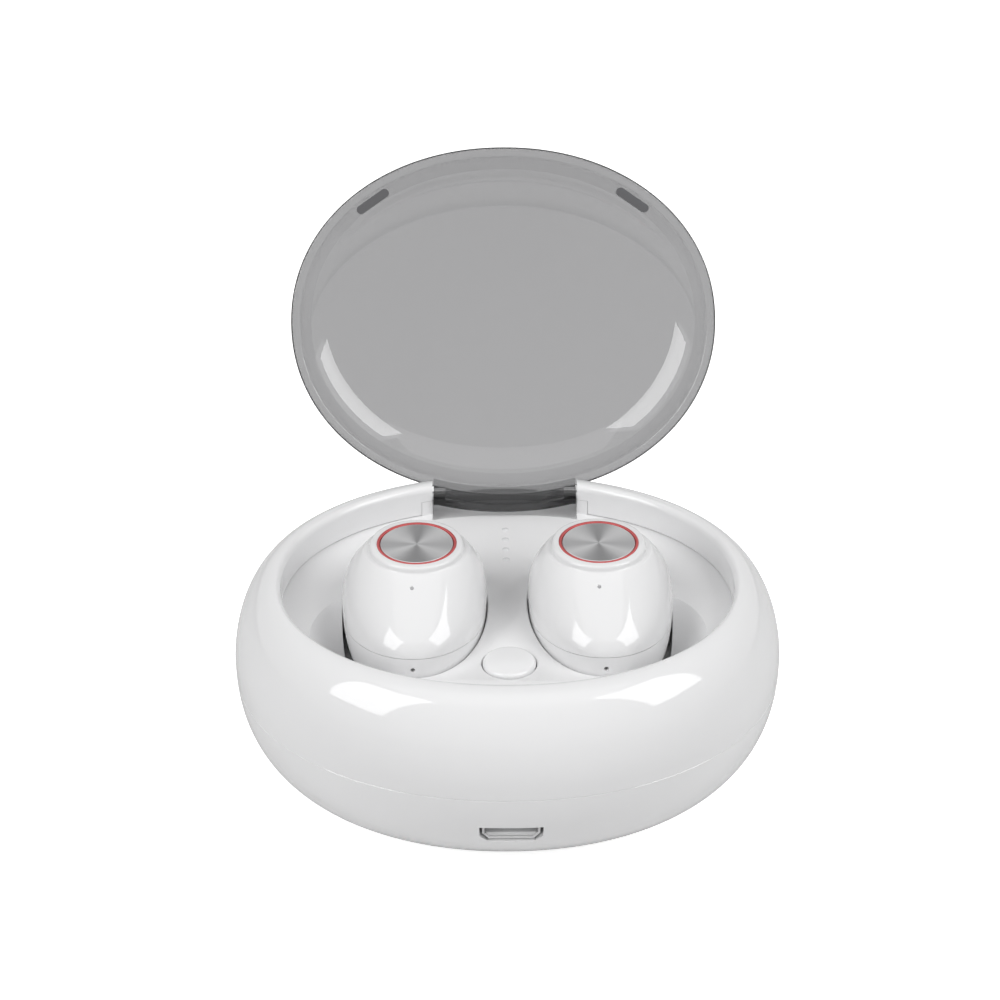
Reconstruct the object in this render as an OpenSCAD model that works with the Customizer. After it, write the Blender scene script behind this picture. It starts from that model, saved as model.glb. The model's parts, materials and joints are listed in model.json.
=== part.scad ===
// Charging case for a pair of wireless earbuds. An oval bowl in two shells holds a
// tray with two pockets, the electronics lie underneath, and a smoky dished lid turns
// on two short pins at the back. Both earbuds sit in their pockets.
// Origin: centre of the flat underside. +Z is up and the front faces -Y.

/* [Case] */
// Width of the case at its widest
case_w = 74; // [71:0.5:80]
// Depth of the case at its widest, front to back
case_d = 65; // [63:0.5:72]
// Height of the rim's crest
rim_h = 29.8; // [29.4:0.1:33]
// Height of the widest line
belly_h = 18.6; // [17.6:0.1:20]
// Width of the flat underside
base_w = 34.2; // [28:0.2:40]
// Depth of the flat underside
base_d = 25.2; // [20:0.2:30]
// Height of the parting line between bottom shell and upper ring
split_h = 16.6; // [16:0.1:17.4]
// Wall of both shells
wall = 1.8; // [1.5:0.1:2]
// Fullness of the curve below the widest line
low_curve = 2.36; // [2.2:0.02:2.6]
// Fullness of the curve above the widest line
top_curve = 1.85; // [1.75:0.02:2.1]
// Squareness of the oval outline, 2 is an ellipse
oval_curve = 2.08; // [2:0.01:2.2]
// Height of the rebate where the two shells overlap
rebate_h = 1.2; // [0.8:0.1:1.4]

/* [Opening] */
// Width of the rim at the sides, from the widest line to the crest
rim_side = 5.8; // [5.2:0.1:6]
// Width of the rim at front and back, from the widest line to the crest
rim_front = 6.5; // [6.1:0.1:6.8]
// Width of the rounded lip at the sides
lip_side = 0.7; // [0.5:0.1:1]
// Width of the rounded lip at front and back
lip_front = 1; // [0.8:0.1:1.4]
// Height of the rounded lip
lip_drop = 1; // [0.6:0.1:1.2]
// Wall around the opening
inner_wall = 1.6; // [1.4:0.1:1.8]
// Depth of the hollow's roof below the crest
roof_drop = 3.4; // [3:0.1:3.6]

/* [Deck] */
// Depth of the deck below the crest
deck_drop = 4.5; // [4.3:0.1:5]
// Thickness of the deck
deck_t = 1.6; // [1.4:0.1:1.8]
// Visible joint between tray and ring
seam_gap = 0.05; // [0.02:0.01:0.1]
// Rim of the tray beyond the ring's inner wall
flange_w = 0.6; // [0.3:0.1:0.8]
// Clearance between an earbud and its pocket
pocket_gap = 0.2; // [0.15:0.05:0.35]
// Wall of the pockets and the finger pits
pocket_wall = 1.1; // [0.9:0.1:1.2]
// Clearance under a seated earbud
seat_gap = 0.1; // [0.05:0.05:0.2]
// Thickness of the pocket's floor
seat_t = 1.4; // [1.2:0.1:1.6]
// Distance of a finger pit's centre from the middle of the case
pit_x = 19; // [18.8:0.1:19.2]
// Distance of a finger pit's centre in front of the middle
pit_y = 7.6; // [7:0.1:8]
// Width of a finger pit
pit_w = 15; // [14.4:0.2:15.4]
// Length of a finger pit
pit_l = 20; // [19:0.2:20.6]
// Depth of a finger pit
pit_depth = 5.8; // [5:0.1:6.2]
// Fullness of the finger pit's section, from pointed to flat-bottomed
pit_curve = 1.3; // [1.1:0.1:1.6]
// Clearance around the ear tip in its cup
cup_gap = 0.5; // [0.3:0.1:0.6]
// Floor of the ear tip's cup
cup_floor = 1; // [0.8:0.1:1.2]

/* [Button and lights] */
// Diameter of the case's button
button_d = 7; // [6.4:0.1:7.2]
// Distance of the button in front of the middle
button_y = 14.2; // [14:0.1:15]
// Height of the button above the deck
button_rise = 0.7; // [0.6:0.1:1]
// Clearance around the button
button_gap = 0.12; // [0.1:0.01:0.2]
// Travel of the button
button_travel = 0.4; // [0.3:0.05:0.5]
// Width of the flange that holds the button under the deck
button_flange = 0.35; // [0.25:0.05:0.4]
// Diameter of a charge light
light_d = 1; // [0.8:0.1:1.2]
// Distance of the first charge light behind the middle
light_y = 11.4; // [11.2:0.1:11.8]
// Distance from one charge light to the next
light_pitch = 2.65; // [2.4:0.05:2.7]

/* [Lid] */
// Gap between the lid's edge and the opening
lid_gap = 0.25; // [0.25:0.05:0.45]
// Depth of the lid's edge below the crest
lid_sink = 0.8; // [0.6:0.1:0.9]
// Height of the lid above its edge
lid_rise = 9.5; // [9.3:0.1:11]
// Wall of the lid
lid_wall = 1.3; // [1:0.1:1.5]
// Squareness of the lid's section, 2 is an ellipse
lid_curve = 3; // [2.9:0.1:3.4]
// How far the lid's edge is raised beside the hinge
edge_lift = 0.65; // [0.6:0.05:0.7]
// Length of a lid magnet
bar_l = 5.3; // [4.6:0.1:5.6]
// Width of a lid magnet
bar_w = 1.2; // [1:0.1:1.4]
// Height of a lid magnet
bar_h = 2; // [1.6:0.1:2.4]
// Direction of the lid magnets around the oval, from the side
bar_turn = 50; // [48:1:54]

/* [Hinge] */
// How far the lid stands open
lid_open = 115; // [0:1:115]
// Distance of the hinge axis behind the opening's edge
hinge_back = -0.3; // [-0.3:0.05:0]
// Depth of the hinge axis below the crest
hinge_drop = 2.1; // [2:0.1:2.2]
// Width of the notch for the hinge
notch_w = 20.6; // [19:0.2:22]
// Clearance between the hinge and the notch's ends
notch_gap = 0.15; // [0.1:0.05:0.25]
// Diameter of a hinge pin
pin_d = 1.4; // [1.2:0.1:1.6]
// Running clearance around a hinge pin
pin_gap = 0.05; // [0.03:0.01:0.08]
// Width of a hinge lug
lug_w = 1.7; // [1.4:0.1:2]
// Diameter of a hinge lug
lug_d = 2.6; // [2.4:0.1:2.8]
// Reach of the tongue behind the hinge axis
tongue_reach = 2.2; // [1.8:0.1:2.3]
// Thickness of the tongue
tongue_t = 1; // [0.8:0.1:1.1]
// Height of the skirt at the tongue's end
skirt_h = 3.3; // [2.6:0.1:3.4]
// Height of the ring's wall behind the notch, below the crest
sill_drop = 4.55; // [4.5:0.05:4.7]
// Clearance around the tongue as it swings
swing_gap = 0.35; // [0.3:0.05:0.45]
// Width of a tab that keeps a hinge pin in place
tab_w = 1.55; // [1.4:0.05:1.8]
// Clearance around such a tab
tab_gap = 0.05; // [0.03:0.01:0.08]
// Distance of the deck's back edge in front of the opening's edge
recess_back = 1.6; // [1.5:0.1:1.8]

/* [Earbud outside] */
// Distance of an earbud's cap from the middle of the case
cap_x = 12.1; // [11.9:0.1:12.4]
// Distance of an earbud's cap in front of the middle
cap_y = 1; // [0.6:0.1:1.4]
// Height of the cap above the deck
cap_rise = 10.4; // [10.2:0.1:10.5]
// Outward shift of the earbud's body from its cap
body_shift = 0.45; // [0.3:0.05:0.6]
// Width of an earbud
bud_w = 19.5; // [19:0.1:19.8]
// Reach of an earbud in front of its cap
bud_front = 16.2; // [15.8:0.1:16.6]
// Reach of an earbud behind its cap
bud_back = 11; // [10.6:0.1:11.2]
// Height of an earbud without its nozzle
bud_h = 17.2; // [17.1:0.1:17.6]
// Depth of the earbud's widest line below the cap
bud_belly = 9; // [8.6:0.1:9.4]
// Depth of the earbud's foremost point below the cap
bud_nose = 11.7; // [11.4:0.1:12]
// Slope of the earbud's front below the cap, in degrees
roof_slope = 30; // [28:1:33]
// Sharpness of the bend between that slope and the nose
roof_turn = 12; // [9:1:14]
// Tilt of the earbud's parting line, in degrees
seam_tilt = 11; // [8:1:12]
// Depth of the earbud's parting line below the cap
bud_seam = 7.8; // [7.6:0.1:8.2]
// Wall of the earbud's housings
bud_wall = 1.1; // [0.9:0.1:1.2]
// Distance of the status light in front of the cap's middle
light_reach = 8.1; // [7.8:0.1:8.6]
// Diameter of the collar around the cap
collar_d = 12.3; // [12:0.1:12.6]
// Height of that collar
collar_h = 0.85; // [0.7:0.05:1]

/* [Earbud cap] */
// Outer diameter of the coloured ring
ring_d = 10.62; // [10.4:0.02:10.8]
// Width of the coloured ring
ring_w = 0.38; // [0.32:0.02:0.5]
// Clearance between cap and ring
cap_gap = 0.06; // [0.04:0.01:0.1]
// Thickness of the cap
cap_t = 0.55; // [0.45:0.05:0.6]
// Depth of the recess that holds ring and cap
recess_h = 1.2; // [1.1:0.05:1.3]
// Travel of the cap
cap_travel = 0.25; // [0.2:0.05:0.3]
// Diameter of the cap's stem
stem_d = 1.8; // [1.5:0.1:2]

/* [Earbud nozzle] */
// Outer diameter of the nozzle
nozzle_d = 5.4; // [5:0.1:5.6]
// Bore of the nozzle
nozzle_bore = 3.8; // [3.4:0.1:4]
// Length of the nozzle below the earbud
nozzle_l = 5.8; // [5.4:0.1:6]
// Forward tilt of the nozzle
nozzle_tilt = 18; // [16:1:19]
// Distance of the nozzle in front of the cap
nozzle_y = 6.5; // [6.2:0.1:6.8]
// Diameter of the ear tip
tip_d = 12; // [11.4:0.1:12.4]
// Thickness of the ear tip's skirt
tip_wall = 0.7; // [0.5:0.05:0.8]

/* [Electronics] */
// Depth of the charging socket's middle below the crest
port_drop = 19.5; // [19.4:0.1:19.8]
// Width of the opening for the charging plug
port_w = 8.2; // [8:0.1:8.6]
// Height of the opening for the charging plug
port_opening = 2.9; // [2.8:0.1:3.2]
// Width of the charging socket
socket_w = 7.5; // [7.3:0.1:7.6]
// Height of the charging socket
socket_t = 2.6; // [2.4:0.1:2.7]
// Length of the charging socket
socket_l = 5.2; // [5:0.1:5.6]
// Depth of the charging socket's mouth behind the case's widest point
socket_back = 2.3; // [2.2:0.1:2.5]
// Thickness of the main board
board_t = 1; // [0.8:0.1:1.2]
// Thickness of the small boards
small_board_t = 0.8; // [0.6:0.1:0.9]
// Width of the case's battery
battery_w = 32; // [28:0.5:33]
// Depth of the case's battery
battery_d = 21; // [18:0.5:22]
// Room above the case's battery
battery_room = 1.1; // [0.9:0.1:2]
// Diameter of an earbud's battery
bud_battery_d = 12; // [11:0.1:12.4]
// Thickness of an earbud's battery
bud_battery_t = 5.4; // [5:0.1:5.6]
// Diameter of an earbud's driver
driver_d = 9.2; // [8.6:0.1:9.4]
// Thickness of an earbud's driver
driver_t = 3.4; // [3:0.1:3.6]
// Width of a charge controller's housing
chip_w = 5; // [4:0.5:6]
// Width of the earbuds' microphones
mic_w = 2.6; // [2:0.1:3]
// Diameter of an earbud's contact pad
pad_d = 1.8; // [1.6:0.1:2]
// Diameter of a contact pin
contact_d = 1; // [0.8:0.1:1.1]
// Half the distance between an earbud's two contacts
contact_x = 2.4; // [2.2:0.1:2.6]
// Distance of the contacts behind the cap
contact_y = 2.8; // [2.6:0.1:3]
// Travel of a contact pin
contact_travel = 0.4; // [0.3:0.05:0.5]
// Gap between a contact pin and the earbud's pad
contact_gap = 0.05; // [0.03:0.01:0.1]
// Diameter of a round magnet
magnet_d = 3.6; // [3:0.1:3.8]
// Thickness of a round magnet
magnet_t = 2; // [1.6:0.1:2.2]
// Diameter of a screw's shank
screw_d = 1.2; // [1:0.1:1.4]

/* [Hidden] */
$fn = 48;
left = -1;
right = 1;
eps = 0.01;
fit = 0.02;                     // glued and pressed pieces
shell_sides = 60;               // facets around the case
bud_sides = 40;                 // facets around an earbud

white = [0.93, 0.93, 0.94];
inside_white = [0.88, 0.88, 0.89];
smoke = [0.45, 0.45, 0.46, 0.6];
steel = [0.72, 0.72, 0.74];
gold = [0.83, 0.68, 0.35];
board_green = [0.1, 0.35, 0.22];
black = [0.12, 0.12, 0.13];

half_w = case_w / 2;
half_d = case_d / 2;
crest_a = half_w - rim_side;
crest_b = half_d - rim_front;
open_a = crest_a - lip_side;
open_b = crest_b - lip_front;
deck_h = rim_h - deck_drop;
deck_low = deck_h - deck_t;
roof_h = rim_h - roof_drop;
flange_a = open_a + inner_wall + flange_w;
flange_b = open_b + inner_wall + flange_w;

// Earbud, measured from the top of its cap
cap_top = deck_h + cap_rise;
half_bud = bud_w / 2;
bud_centre_y = 1.5;             // the widest place lies this far behind the cap
flat_side = 5.6;                // half the width of the flat bottom
flat_front = 11;                // its reach in front of the cap
flat_back = 6.2;                // its reach behind the cap
seat_h = cap_top - bud_h - seat_gap;
seat_low = seat_h - seat_t;
pit_floor = deck_h - pit_depth;

// Ear tip, measured along the nozzle from the earbud's flat bottom
tip_start = 1.2;
tip_skirt = 2.6;                // where the skirt ends
tip_end = nozzle_l + 0.8;
tip_nose_d = 6.8;
bead_h = 0.8;                   // bead at the nozzle's end that holds the tip
bead_d = nozzle_d + 0.6;

// Cup for the ear tip
skirt_reach = tip_d / 2 * cos(nozzle_tilt);
cup_y = cap_y + nozzle_y + tip_skirt * sin(nozzle_tilt);
cup_a = tip_d / 2 + cup_gap;
cup_b = skirt_reach + cup_gap;
tip_low = seat_h + seat_gap - tip_end * cos(nozzle_tilt) - tip_nose_d / 2 * sin(nozzle_tilt);
cup_h = tip_low - 0.3;
cup_wall = 1;

// Hinge
hinge_y = open_b + hinge_back;
hinge_z = rim_h - hinge_drop;
notch = notch_w / 2;
tongue_end = hinge_y + tongue_reach;
tongue_top = rim_h + 0.05;
swing_r = norm([tongue_reach, tongue_top - hinge_z]) + swing_gap;
recess_floor_h = hinge_z - swing_r;
pin_in = notch - notch_gap - lug_w + 0.1;
pin_out = notch + tab_w - tab_gap;
tab_top = hinge_z - 0.2;

// Lid
lid_edge = rim_h - lid_sink;
lid_a = open_a - lid_gap;
lid_b = open_b - lid_gap;

// Heights of the electronics
floor_t = wall;
small_gap = 0.1;                // tape or a thin pad
port_h = rim_h - port_drop;
board_top = port_h - socket_t / 2;
board_low = board_top - board_t;
battery_low = floor_t + 3 * small_gap;
battery_t = board_low - battery_room - battery_low;
button_low = deck_low - small_gap;
button_flange_t = 1.1;
switch_h = 1.5;
switch_stub = 0.5;
button_board_top = deck_low - 4.4;
button_stem_low = button_board_top + switch_h + switch_stub + button_travel + contact_gap;
chip_h = 0.5;
light_board_top = deck_low - 1;
post_d = 3.6;
pilot = screw_d + 2 * fit;
head_d = 2 * screw_d;
head_h = 0.9;
button_post_xy = [[0, -button_y - 0.85 * button_d]];
light_post_xy = [for (x = [-1, 1]) [x * 1.9 * light_pitch, light_y + 1.5 * light_pitch]];
tray_post_xy = [for (x = [-1, 1], y = [-1, 1])
    y < 0 ? [x * 0.243 * half_w, -0.631 * half_d] : [x * 0.622 * half_w, 0.37 * half_d]];
tray_screw_turns = [52, 128, 232, 308];
contact_low = board_top;
contact_high = seat_low - 0.5;

// 1 where u is 0, and 0 where u is 1
function curve(u, p) = pow(1 - pow(min(max(u, 0), 1), p), 1 / p);

// Half width of the bowl at height z, for one of its two axes
function bowl(z, half, base, crest) =
    z < belly_h ? base + (half - base) * curve(1 - z / belly_h, low_curve)
                : crest + (half - crest) * curve((z - belly_h) / (rim_h - belly_h), top_curve);

// A level is [height, half width, front reach, back reach, x centre, y centre]
function level(z, a, b) = [z, a, b, b, 0, 0];
function outer(z, inset = 0) =
    level(z, bowl(z, half_w, base_w / 2, crest_a) - inset,
             bowl(z, half_d, base_d / 2, crest_b) - inset);

// Heights that follow the curves evenly
function low_z(turn) = belly_h * (1 - pow(sin(turn), 2 / low_curve));
function high_z(turn) = belly_h + (rim_h - belly_h) * pow(sin(turn), 2 / top_curve);

function oval_point(a, front, back, turn, p) =
    let (c = cos(turn), s = sin(turn))
    [a * sign(c) * pow(abs(c), 2 / p), (s < 0 ? front : back) * sign(s) * pow(abs(s), 2 / p)];

function level_points(l, sides, p) =
    [for (i = [0:sides - 1])
        let (q = oval_point(l[1], l[2], l[3], 360 * i / sides, p))
        [q[0] + l[4], q[1] + l[5], l[0]]];

// Skin over a list of levels. The ends are capped, or joined where looped is true.
module skin(levels, sides, p, looped = false) {
    count = len(levels);
    points = [for (l = levels) each level_points(l, sides, p)];
    last = looped ? count - 1 : count - 2;
    walls = [for (k = [0:last], i = [0:sides - 1])
        let (j = (i + 1) % sides, a = k * sides, b = ((k + 1) % count) * sides)
        each [[a + i, b + i, b + j], [a + i, b + j, a + j]]];
    bottom = [for (i = [0:sides - 1]) i];
    top = [for (i = [sides - 1:-1:0]) (count - 1) * sides + i];
    polyhedron(points, looped ? walls : concat(walls, [bottom, top]));
}

module oval(a, b, p = oval_curve, sides = shell_sides) {
    polygon([for (i = [0:sides - 1]) oval_point(a, b, b, 360 * i / sides, p)]);
}

module egg(a, front, back, sides = shell_sides) {
    polygon([for (i = [0:sides - 1]) oval_point(a, front, back, 360 * i / sides, 2.1)]);
}

module slab(low, high) {
    translate([0, 0, low]) linear_extrude(high - low) children();
}

module rod(d, low, high) {
    translate([0, 0, low]) cylinder(d = d, h = high - low);
}

module block(w, l, low, high) {
    translate([-w / 2, -l / 2, low]) cube([w, l, high - low]);
}

module at_each(places) {
    for (q = places) translate([q[0], q[1], 0]) children();
}

// Bar along X at the hinge axis, from x0 to x1
module hinge_bar(d, x0, x1) {
    translate([x0, hinge_y, hinge_z]) rotate([0, 90, 0]) cylinder(d = d, h = x1 - x0);
}

module screw(top) {
    rod(screw_d, top - head_h - fit, top + 2.2);
    rod(head_d, top - head_h, top);
}

// ---- case shells ----

module bottom_shell() {
    split_turn = asin(pow(1 - split_h / belly_h, low_curve / 2));
    outside = [for (k = [0:7]) outer(low_z(90 - k * (90 - split_turn) / 7))];
    step = wall / 2;
    inner_h = belly_h - floor_t;
    rebate = [
        outer(split_h, step + fit),
        outer(split_h + rebate_h, step + fit),
        outer(split_h + rebate_h, wall)
    ];
    inside = [for (k = [1:6])
        let (turn = split_turn + k * (90 - split_turn) / 6,
             z = floor_t + inner_h * (1 - pow(sin(turn), 2 / low_curve)),
             r = curve(1 - (z - floor_t) / inner_h, low_curve))
        level(z, base_w / 2 + (half_w - wall - base_w / 2) * r,
                 base_d / 2 + (half_d - wall - base_d / 2) * r)];
    color(white) difference() {
        skin(concat(outside, rebate, inside), shell_sides, oval_curve);
        translate([0, -half_d + 7.5, 0]) rotate([90, 0, 0])
            linear_extrude(9.5) port_shape(port_w, port_opening);
    }
}

// Outline of the charging port, wider at the top than at the bottom
module port_shape(w, h) {
    chamfer = h / 3;
    translate([0, port_h]) polygon([
        [-w / 2, h / 2], [-w / 2, -h / 2 + chamfer], [-w / 2 + chamfer, -h / 2],
        [w / 2 - chamfer, -h / 2], [w / 2, -h / 2 + chamfer], [w / 2, h / 2]
    ]);
}

module upper_ring() {
    step = wall / 2;
    inner_low = deck_h + seam_gap;
    hollow_a = open_a + inner_wall;
    hollow_b = open_b + inner_wall;
    outside = concat([outer(split_h)], [for (k = [0:6]) outer(high_z(k * 15))]);
    lip = [for (k = [1:3])
        level(rim_h - lip_drop * (1 - cos(k * 30)),
              crest_a - lip_side * sin(k * 30), crest_b - lip_front * sin(k * 30))];
    inside = [
        level(inner_low, open_a, open_b),
        level(inner_low, hollow_a, hollow_b),
        level(roof_h, hollow_a, hollow_b),
        outer(roof_h, wall),
        outer((roof_h + belly_h) / 2, wall),
        outer(belly_h, wall),
        outer(split_h + rebate_h + seam_gap, wall),
        outer(split_h + rebate_h + seam_gap, step),
        outer(split_h, step)
    ];
    color(white) difference() {
        union() {
            skin(concat(outside, lip, inside), shell_sides, oval_curve, true);
            at_tray_screws() rod(post_d - 0.2, inner_low, roof_h + 0.4);
        }
        at_tray_screws() rod(pilot, inner_low - 1, deck_h + 2.7);
        // notch for the tongue and the lugs, open to the top and the back
        translate([-notch, open_b - 3, recess_floor_h])
            cube([notch_w, crest_b + 0.4 - open_b + 3, 20]);
        translate([-notch, crest_b, rim_h - sill_drop]) cube([notch_w, 20, 20]);
        // room for the heel of the open lid beside the notch
        translate([-notch - 2.3, crest_b + 0.1, lid_edge - 1.35]) cube([notch_w + 4.6, 20, 20]);
        // slots for the tabs and the upper half of each hinge bearing
        for (side = [left, right]) {
            translate([side > 0 ? notch - 1 : -notch - tab_w, open_b - 4, deck_low])
                cube([tab_w + 1, hinge_y + 1.4 - open_b + 4, tab_top + tab_gap - deck_low]);
            hinge_bar(pin_d + 2 * pin_gap, side > 0 ? notch - 1 : -notch - tab_w,
                      side > 0 ? notch + tab_w : -notch + 1);
        }
        at_bar(lid_gap + inner_wall * 0.55) block(bar_l + fit, bar_w + fit, roof_h - 1, roof_h + bar_h);
    }
}

// Places the lid's magnets and the magnets that hold them, a distance outside the lid's edge
module at_bar(outward) {
    for (side = [left, right]) {
        q = oval_point(lid_a, lid_b, lid_b, -bar_turn, oval_curve);
        normal = atan2(q[1] / pow(lid_b, 2), q[0] / pow(lid_a, 2));
        mirror([side > 0 ? 0 : 1, 0, 0])
            translate([q[0], q[1], 0]) rotate([0, 0, normal]) translate([outward, 0, 0])
                rotate([0, 0, 90]) children();
    }
}

module at_tray_screws() {
    at_each([for (turn = tray_screw_turns)
        oval_point(open_a + 1.7, open_b + 1.4, open_b + 1.4, turn, oval_curve)]) children();
}

module latch_magnets() {
    color(steel) at_bar(lid_gap + inner_wall * 0.55)
        block(bar_l, bar_w, roof_h + small_gap, roof_h + bar_h - fit);
}

// ---- tray ----

module pocket_outline(grow) {
    for (side = [left, right]) {
        translate([side * (cap_x + body_shift), -cap_y + bud_centre_y])
            egg(half_bud + grow, bud_front + bud_centre_y + grow, bud_back - bud_centre_y + grow);
    }
}

module pit_outline(grow) {
    for (side = [left, right]) {
        translate([side * pit_x, -pit_y]) oval(pit_w / 2 + grow, pit_l / 2 + grow, 2.1, 44);
    }
}

// Hollow of a finger pit, like the bowl of a spoon
module pit_hollow() {
    a = pit_w / 2;
    b = pit_l / 2;
    hollow = [for (r = [0.2, 0.4, 0.58, 0.74, 0.86, 0.95])
        level(deck_h - pit_depth * pow(1 - r * r, pit_curve), a * r, b * r)];
    skin(concat(hollow, [level(deck_h + 0.1, a, b), level(deck_h + 1, a, b)]), 44, 2.1);
}

module cup_outline(grow) {
    for (side = [left, right]) {
        translate([side * (cap_x + body_shift), -cup_y]) oval(cup_a + grow, cup_b + grow, 2, 36);
    }
}

module tab_outline() {
    for (side = [left, right]) {
        difference() {
            translate([side > 0 ? notch : -notch - tab_w + tab_gap, open_b - 4])
                square([tab_w - tab_gap, hinge_y + 1.4 - tab_gap - open_b + 4]);
            oval(open_a, open_b);
        }
    }
}

module tray() {
    recess_w = notch_w + 1.6;
    color(inside_white) difference() {
        union() {
            slab(deck_low, deck_h) oval(flange_a, flange_b);
            at_tray_screws() rod(post_d, deck_low, deck_h);
            slab(seat_low, deck_low) pocket_outline(pocket_gap + pocket_wall);
            slab(pit_floor - pocket_wall, deck_low) pit_outline(0);
            slab(cup_h - cup_floor, seat_low) cup_outline(cup_wall);
            // lowered floor behind the deck, under the hinge
            slab(recess_floor_h - 1.4, recess_floor_h) intersection() {
                oval(bowl(recess_floor_h, half_w, base_w / 2, crest_a) - wall - swing_gap,
                     bowl(recess_floor_h, half_d, base_d / 2, crest_b) - wall - swing_gap);
                translate([-recess_w / 2, open_b - recess_back - 2.4]) square([recess_w, 10]);
            }
            slab(deck_low, tab_top) tab_outline();
            at_each(tray_post_xy) rod(post_d, board_top, deck_low);
            at_each(button_post_xy) rod(post_d - 0.4, button_board_top, deck_low);
            at_each(light_post_xy) rod(post_d - 0.8, light_board_top, deck_low);
        }
        slab(seat_h, deck_h + 1) pocket_outline(pocket_gap);
        for (side = [left, right]) translate([side * pit_x, -pit_y, 0]) pit_hollow();
        slab(cup_h, seat_h + 1) cup_outline(0);
        slab(recess_floor_h, recess_floor_h + 10) difference() {
            translate([-notch, open_b - 5]) square([notch_w, 12]);
            oval(open_a - recess_back, open_b - recess_back);
        }
        at_each([[0, -button_y]]) rod(button_d + 2 * button_gap, deck_low - 1, deck_h + 1);
        at_lights() rod(light_d + fit, deck_low - 1, deck_h + 1);
        at_contacts() rod(contact_d + 0.3, seat_low - 1, seat_h + 1);
        at_tray_screws() rod(screw_d + 0.2, deck_low - 1, deck_h + 1);
        at_each(tray_post_xy) rod(pilot, board_top - 1, board_top + 2.6);
        at_each(button_post_xy) rod(pilot, button_board_top - 1, button_board_top + 2.6);
        at_each(light_post_xy) rod(pilot, light_board_top - 1, deck_h - 0.3);
        hinge_bar(pin_d + 2 * pin_gap, -notch - tab_w - 1, -notch + 1);
        hinge_bar(pin_d + 2 * pin_gap, notch - 1, notch + tab_w + 1);
    }
}

module tray_screws() {
    color(steel) at_tray_screws() screw(deck_low - fit);
}

module tray_magnets() {
    color(steel) for (side = [left, right]) {
        at_each([[side * (cap_x + body_shift), -cap_y + contact_y + 4]])
            rod(magnet_d, seat_low - magnet_t - fit, seat_low - fit);
    }
}

// ---- button and charge lights ----

module case_button() {
    round_r = 0.4;
    top = deck_h + button_rise;
    color(white) translate([0, -button_y, 0]) rotate_extrude() {
        polygon([
            [0, button_stem_low], [1.2, button_stem_low], [1.2, button_low - button_flange_t],
            [button_d / 2 + button_gap + button_flange, button_low - button_flange_t],
            [button_d / 2 + button_gap + button_flange, button_low], [button_d / 2, button_low],
            [button_d / 2, top - round_r - 0.2],
            for (t = [30, 60]) [button_d / 2 - round_r * (1 - cos(t)), top - 0.2 - round_r * (1 - sin(t))],
            [button_d / 2 - round_r - 0.2, top - 0.1], [button_d / 4, top - 0.02], [0, top]
        ]);
    }
}

module button_board() {
    low = button_board_top - small_board_t;
    color(board_green) difference() {
        translate([-0.44 * button_d, -button_y - 1.1 * button_d, low])
            cube([0.88 * button_d, 1.44 * button_d, small_board_t]);
        at_each(button_post_xy) rod(screw_d + 0.2, low - 1, button_board_top + 1);
    }
}

module button_switch() {
    color(black) translate([0, -button_y, 0]) {
        block(4.4, 4.4, button_board_top, button_board_top + switch_h);
        rod(2, button_board_top + switch_h - eps, button_board_top + switch_h + switch_stub);
    }
}

module at_lights() {
    at_each([for (i = [0:3]) [0, light_y + i * light_pitch]]) children();
}

module charge_lights() {
    color([0.8, 0.8, 0.82]) at_lights() rod(light_d, light_board_top + chip_h + small_gap, deck_h + 0.15);
}

module light_board() {
    low = light_board_top - small_board_t;
    color(board_green) difference() {
        translate([0, light_y + 1.5 * light_pitch, 0])
            block(5 * light_pitch, 3.5 * light_pitch, low, light_board_top);
        at_each(light_post_xy) rod(screw_d + 0.2, low - 1, light_board_top + 1);
    }
}

module light_chips() {
    color(white) at_lights()
        block(1.6 * light_d, 0.8 * light_d, light_board_top, light_board_top + chip_h);
}

module small_board_screws() {
    color(steel) {
        at_each(button_post_xy) screw(button_board_top - small_board_t - fit);
        at_each(light_post_xy) screw(light_board_top - small_board_t - fit);
    }
}

// ---- electronics in the bottom ----

module main_board() {
    // half of its outline, in shares of the case's half width and half depth
    corners = [[0.73, 0.46], [0.73, -0.12], [0.35, -0.68], [0.15, -0.72], [0.15, -0.825]];
    color(board_green) difference() {
        slab(board_low, board_top) polygon([
            for (q = corners) [-q[0] * half_w, q[1] * half_d],
            for (k = [len(corners) - 1:-1:0]) [corners[k][0] * half_w, corners[k][1] * half_d]
        ]);
        at_each(tray_post_xy) rod(screw_d + 0.2, board_low - 1, board_top + 1);
    }
}

module main_board_screws() {
    color(steel) at_each(tray_post_xy) screw(board_low - fit);
}

module charge_controller() {
    color(black) translate([0, 0.8 * chip_w, 0])
        block(chip_w, chip_w, board_top, board_top + 0.2 * chip_w);
}

module case_battery() {
    color([0.75, 0.77, 0.8]) block(battery_w, battery_d, battery_low, battery_low + battery_t);
}

module usb_socket() {
    mouth = -half_d + socket_back;
    shell_t = 0.3;
    color(steel) {
        translate([0, mouth + socket_l, 0]) rotate([90, 0, 0]) difference() {
            linear_extrude(socket_l) port_shape(socket_w, socket_t);
            translate([0, 0, 0.6]) linear_extrude(socket_l)
                port_shape(socket_w - 2 * shell_t, socket_t - 2 * shell_t);
        }
        translate([-1.9, mouth + 0.8, port_h]) cube([3.8, socket_l - 1, 0.6]);
    }
}

module at_contacts() {
    for (side = [left, right]) at_contact(side, -1) children();
    for (side = [left, right]) at_contact(side, 1) children();
}

module at_contact(side, place) {
    translate([side * (cap_x + body_shift + place * contact_x), -cap_y + contact_y, 0]) children();
}

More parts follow.
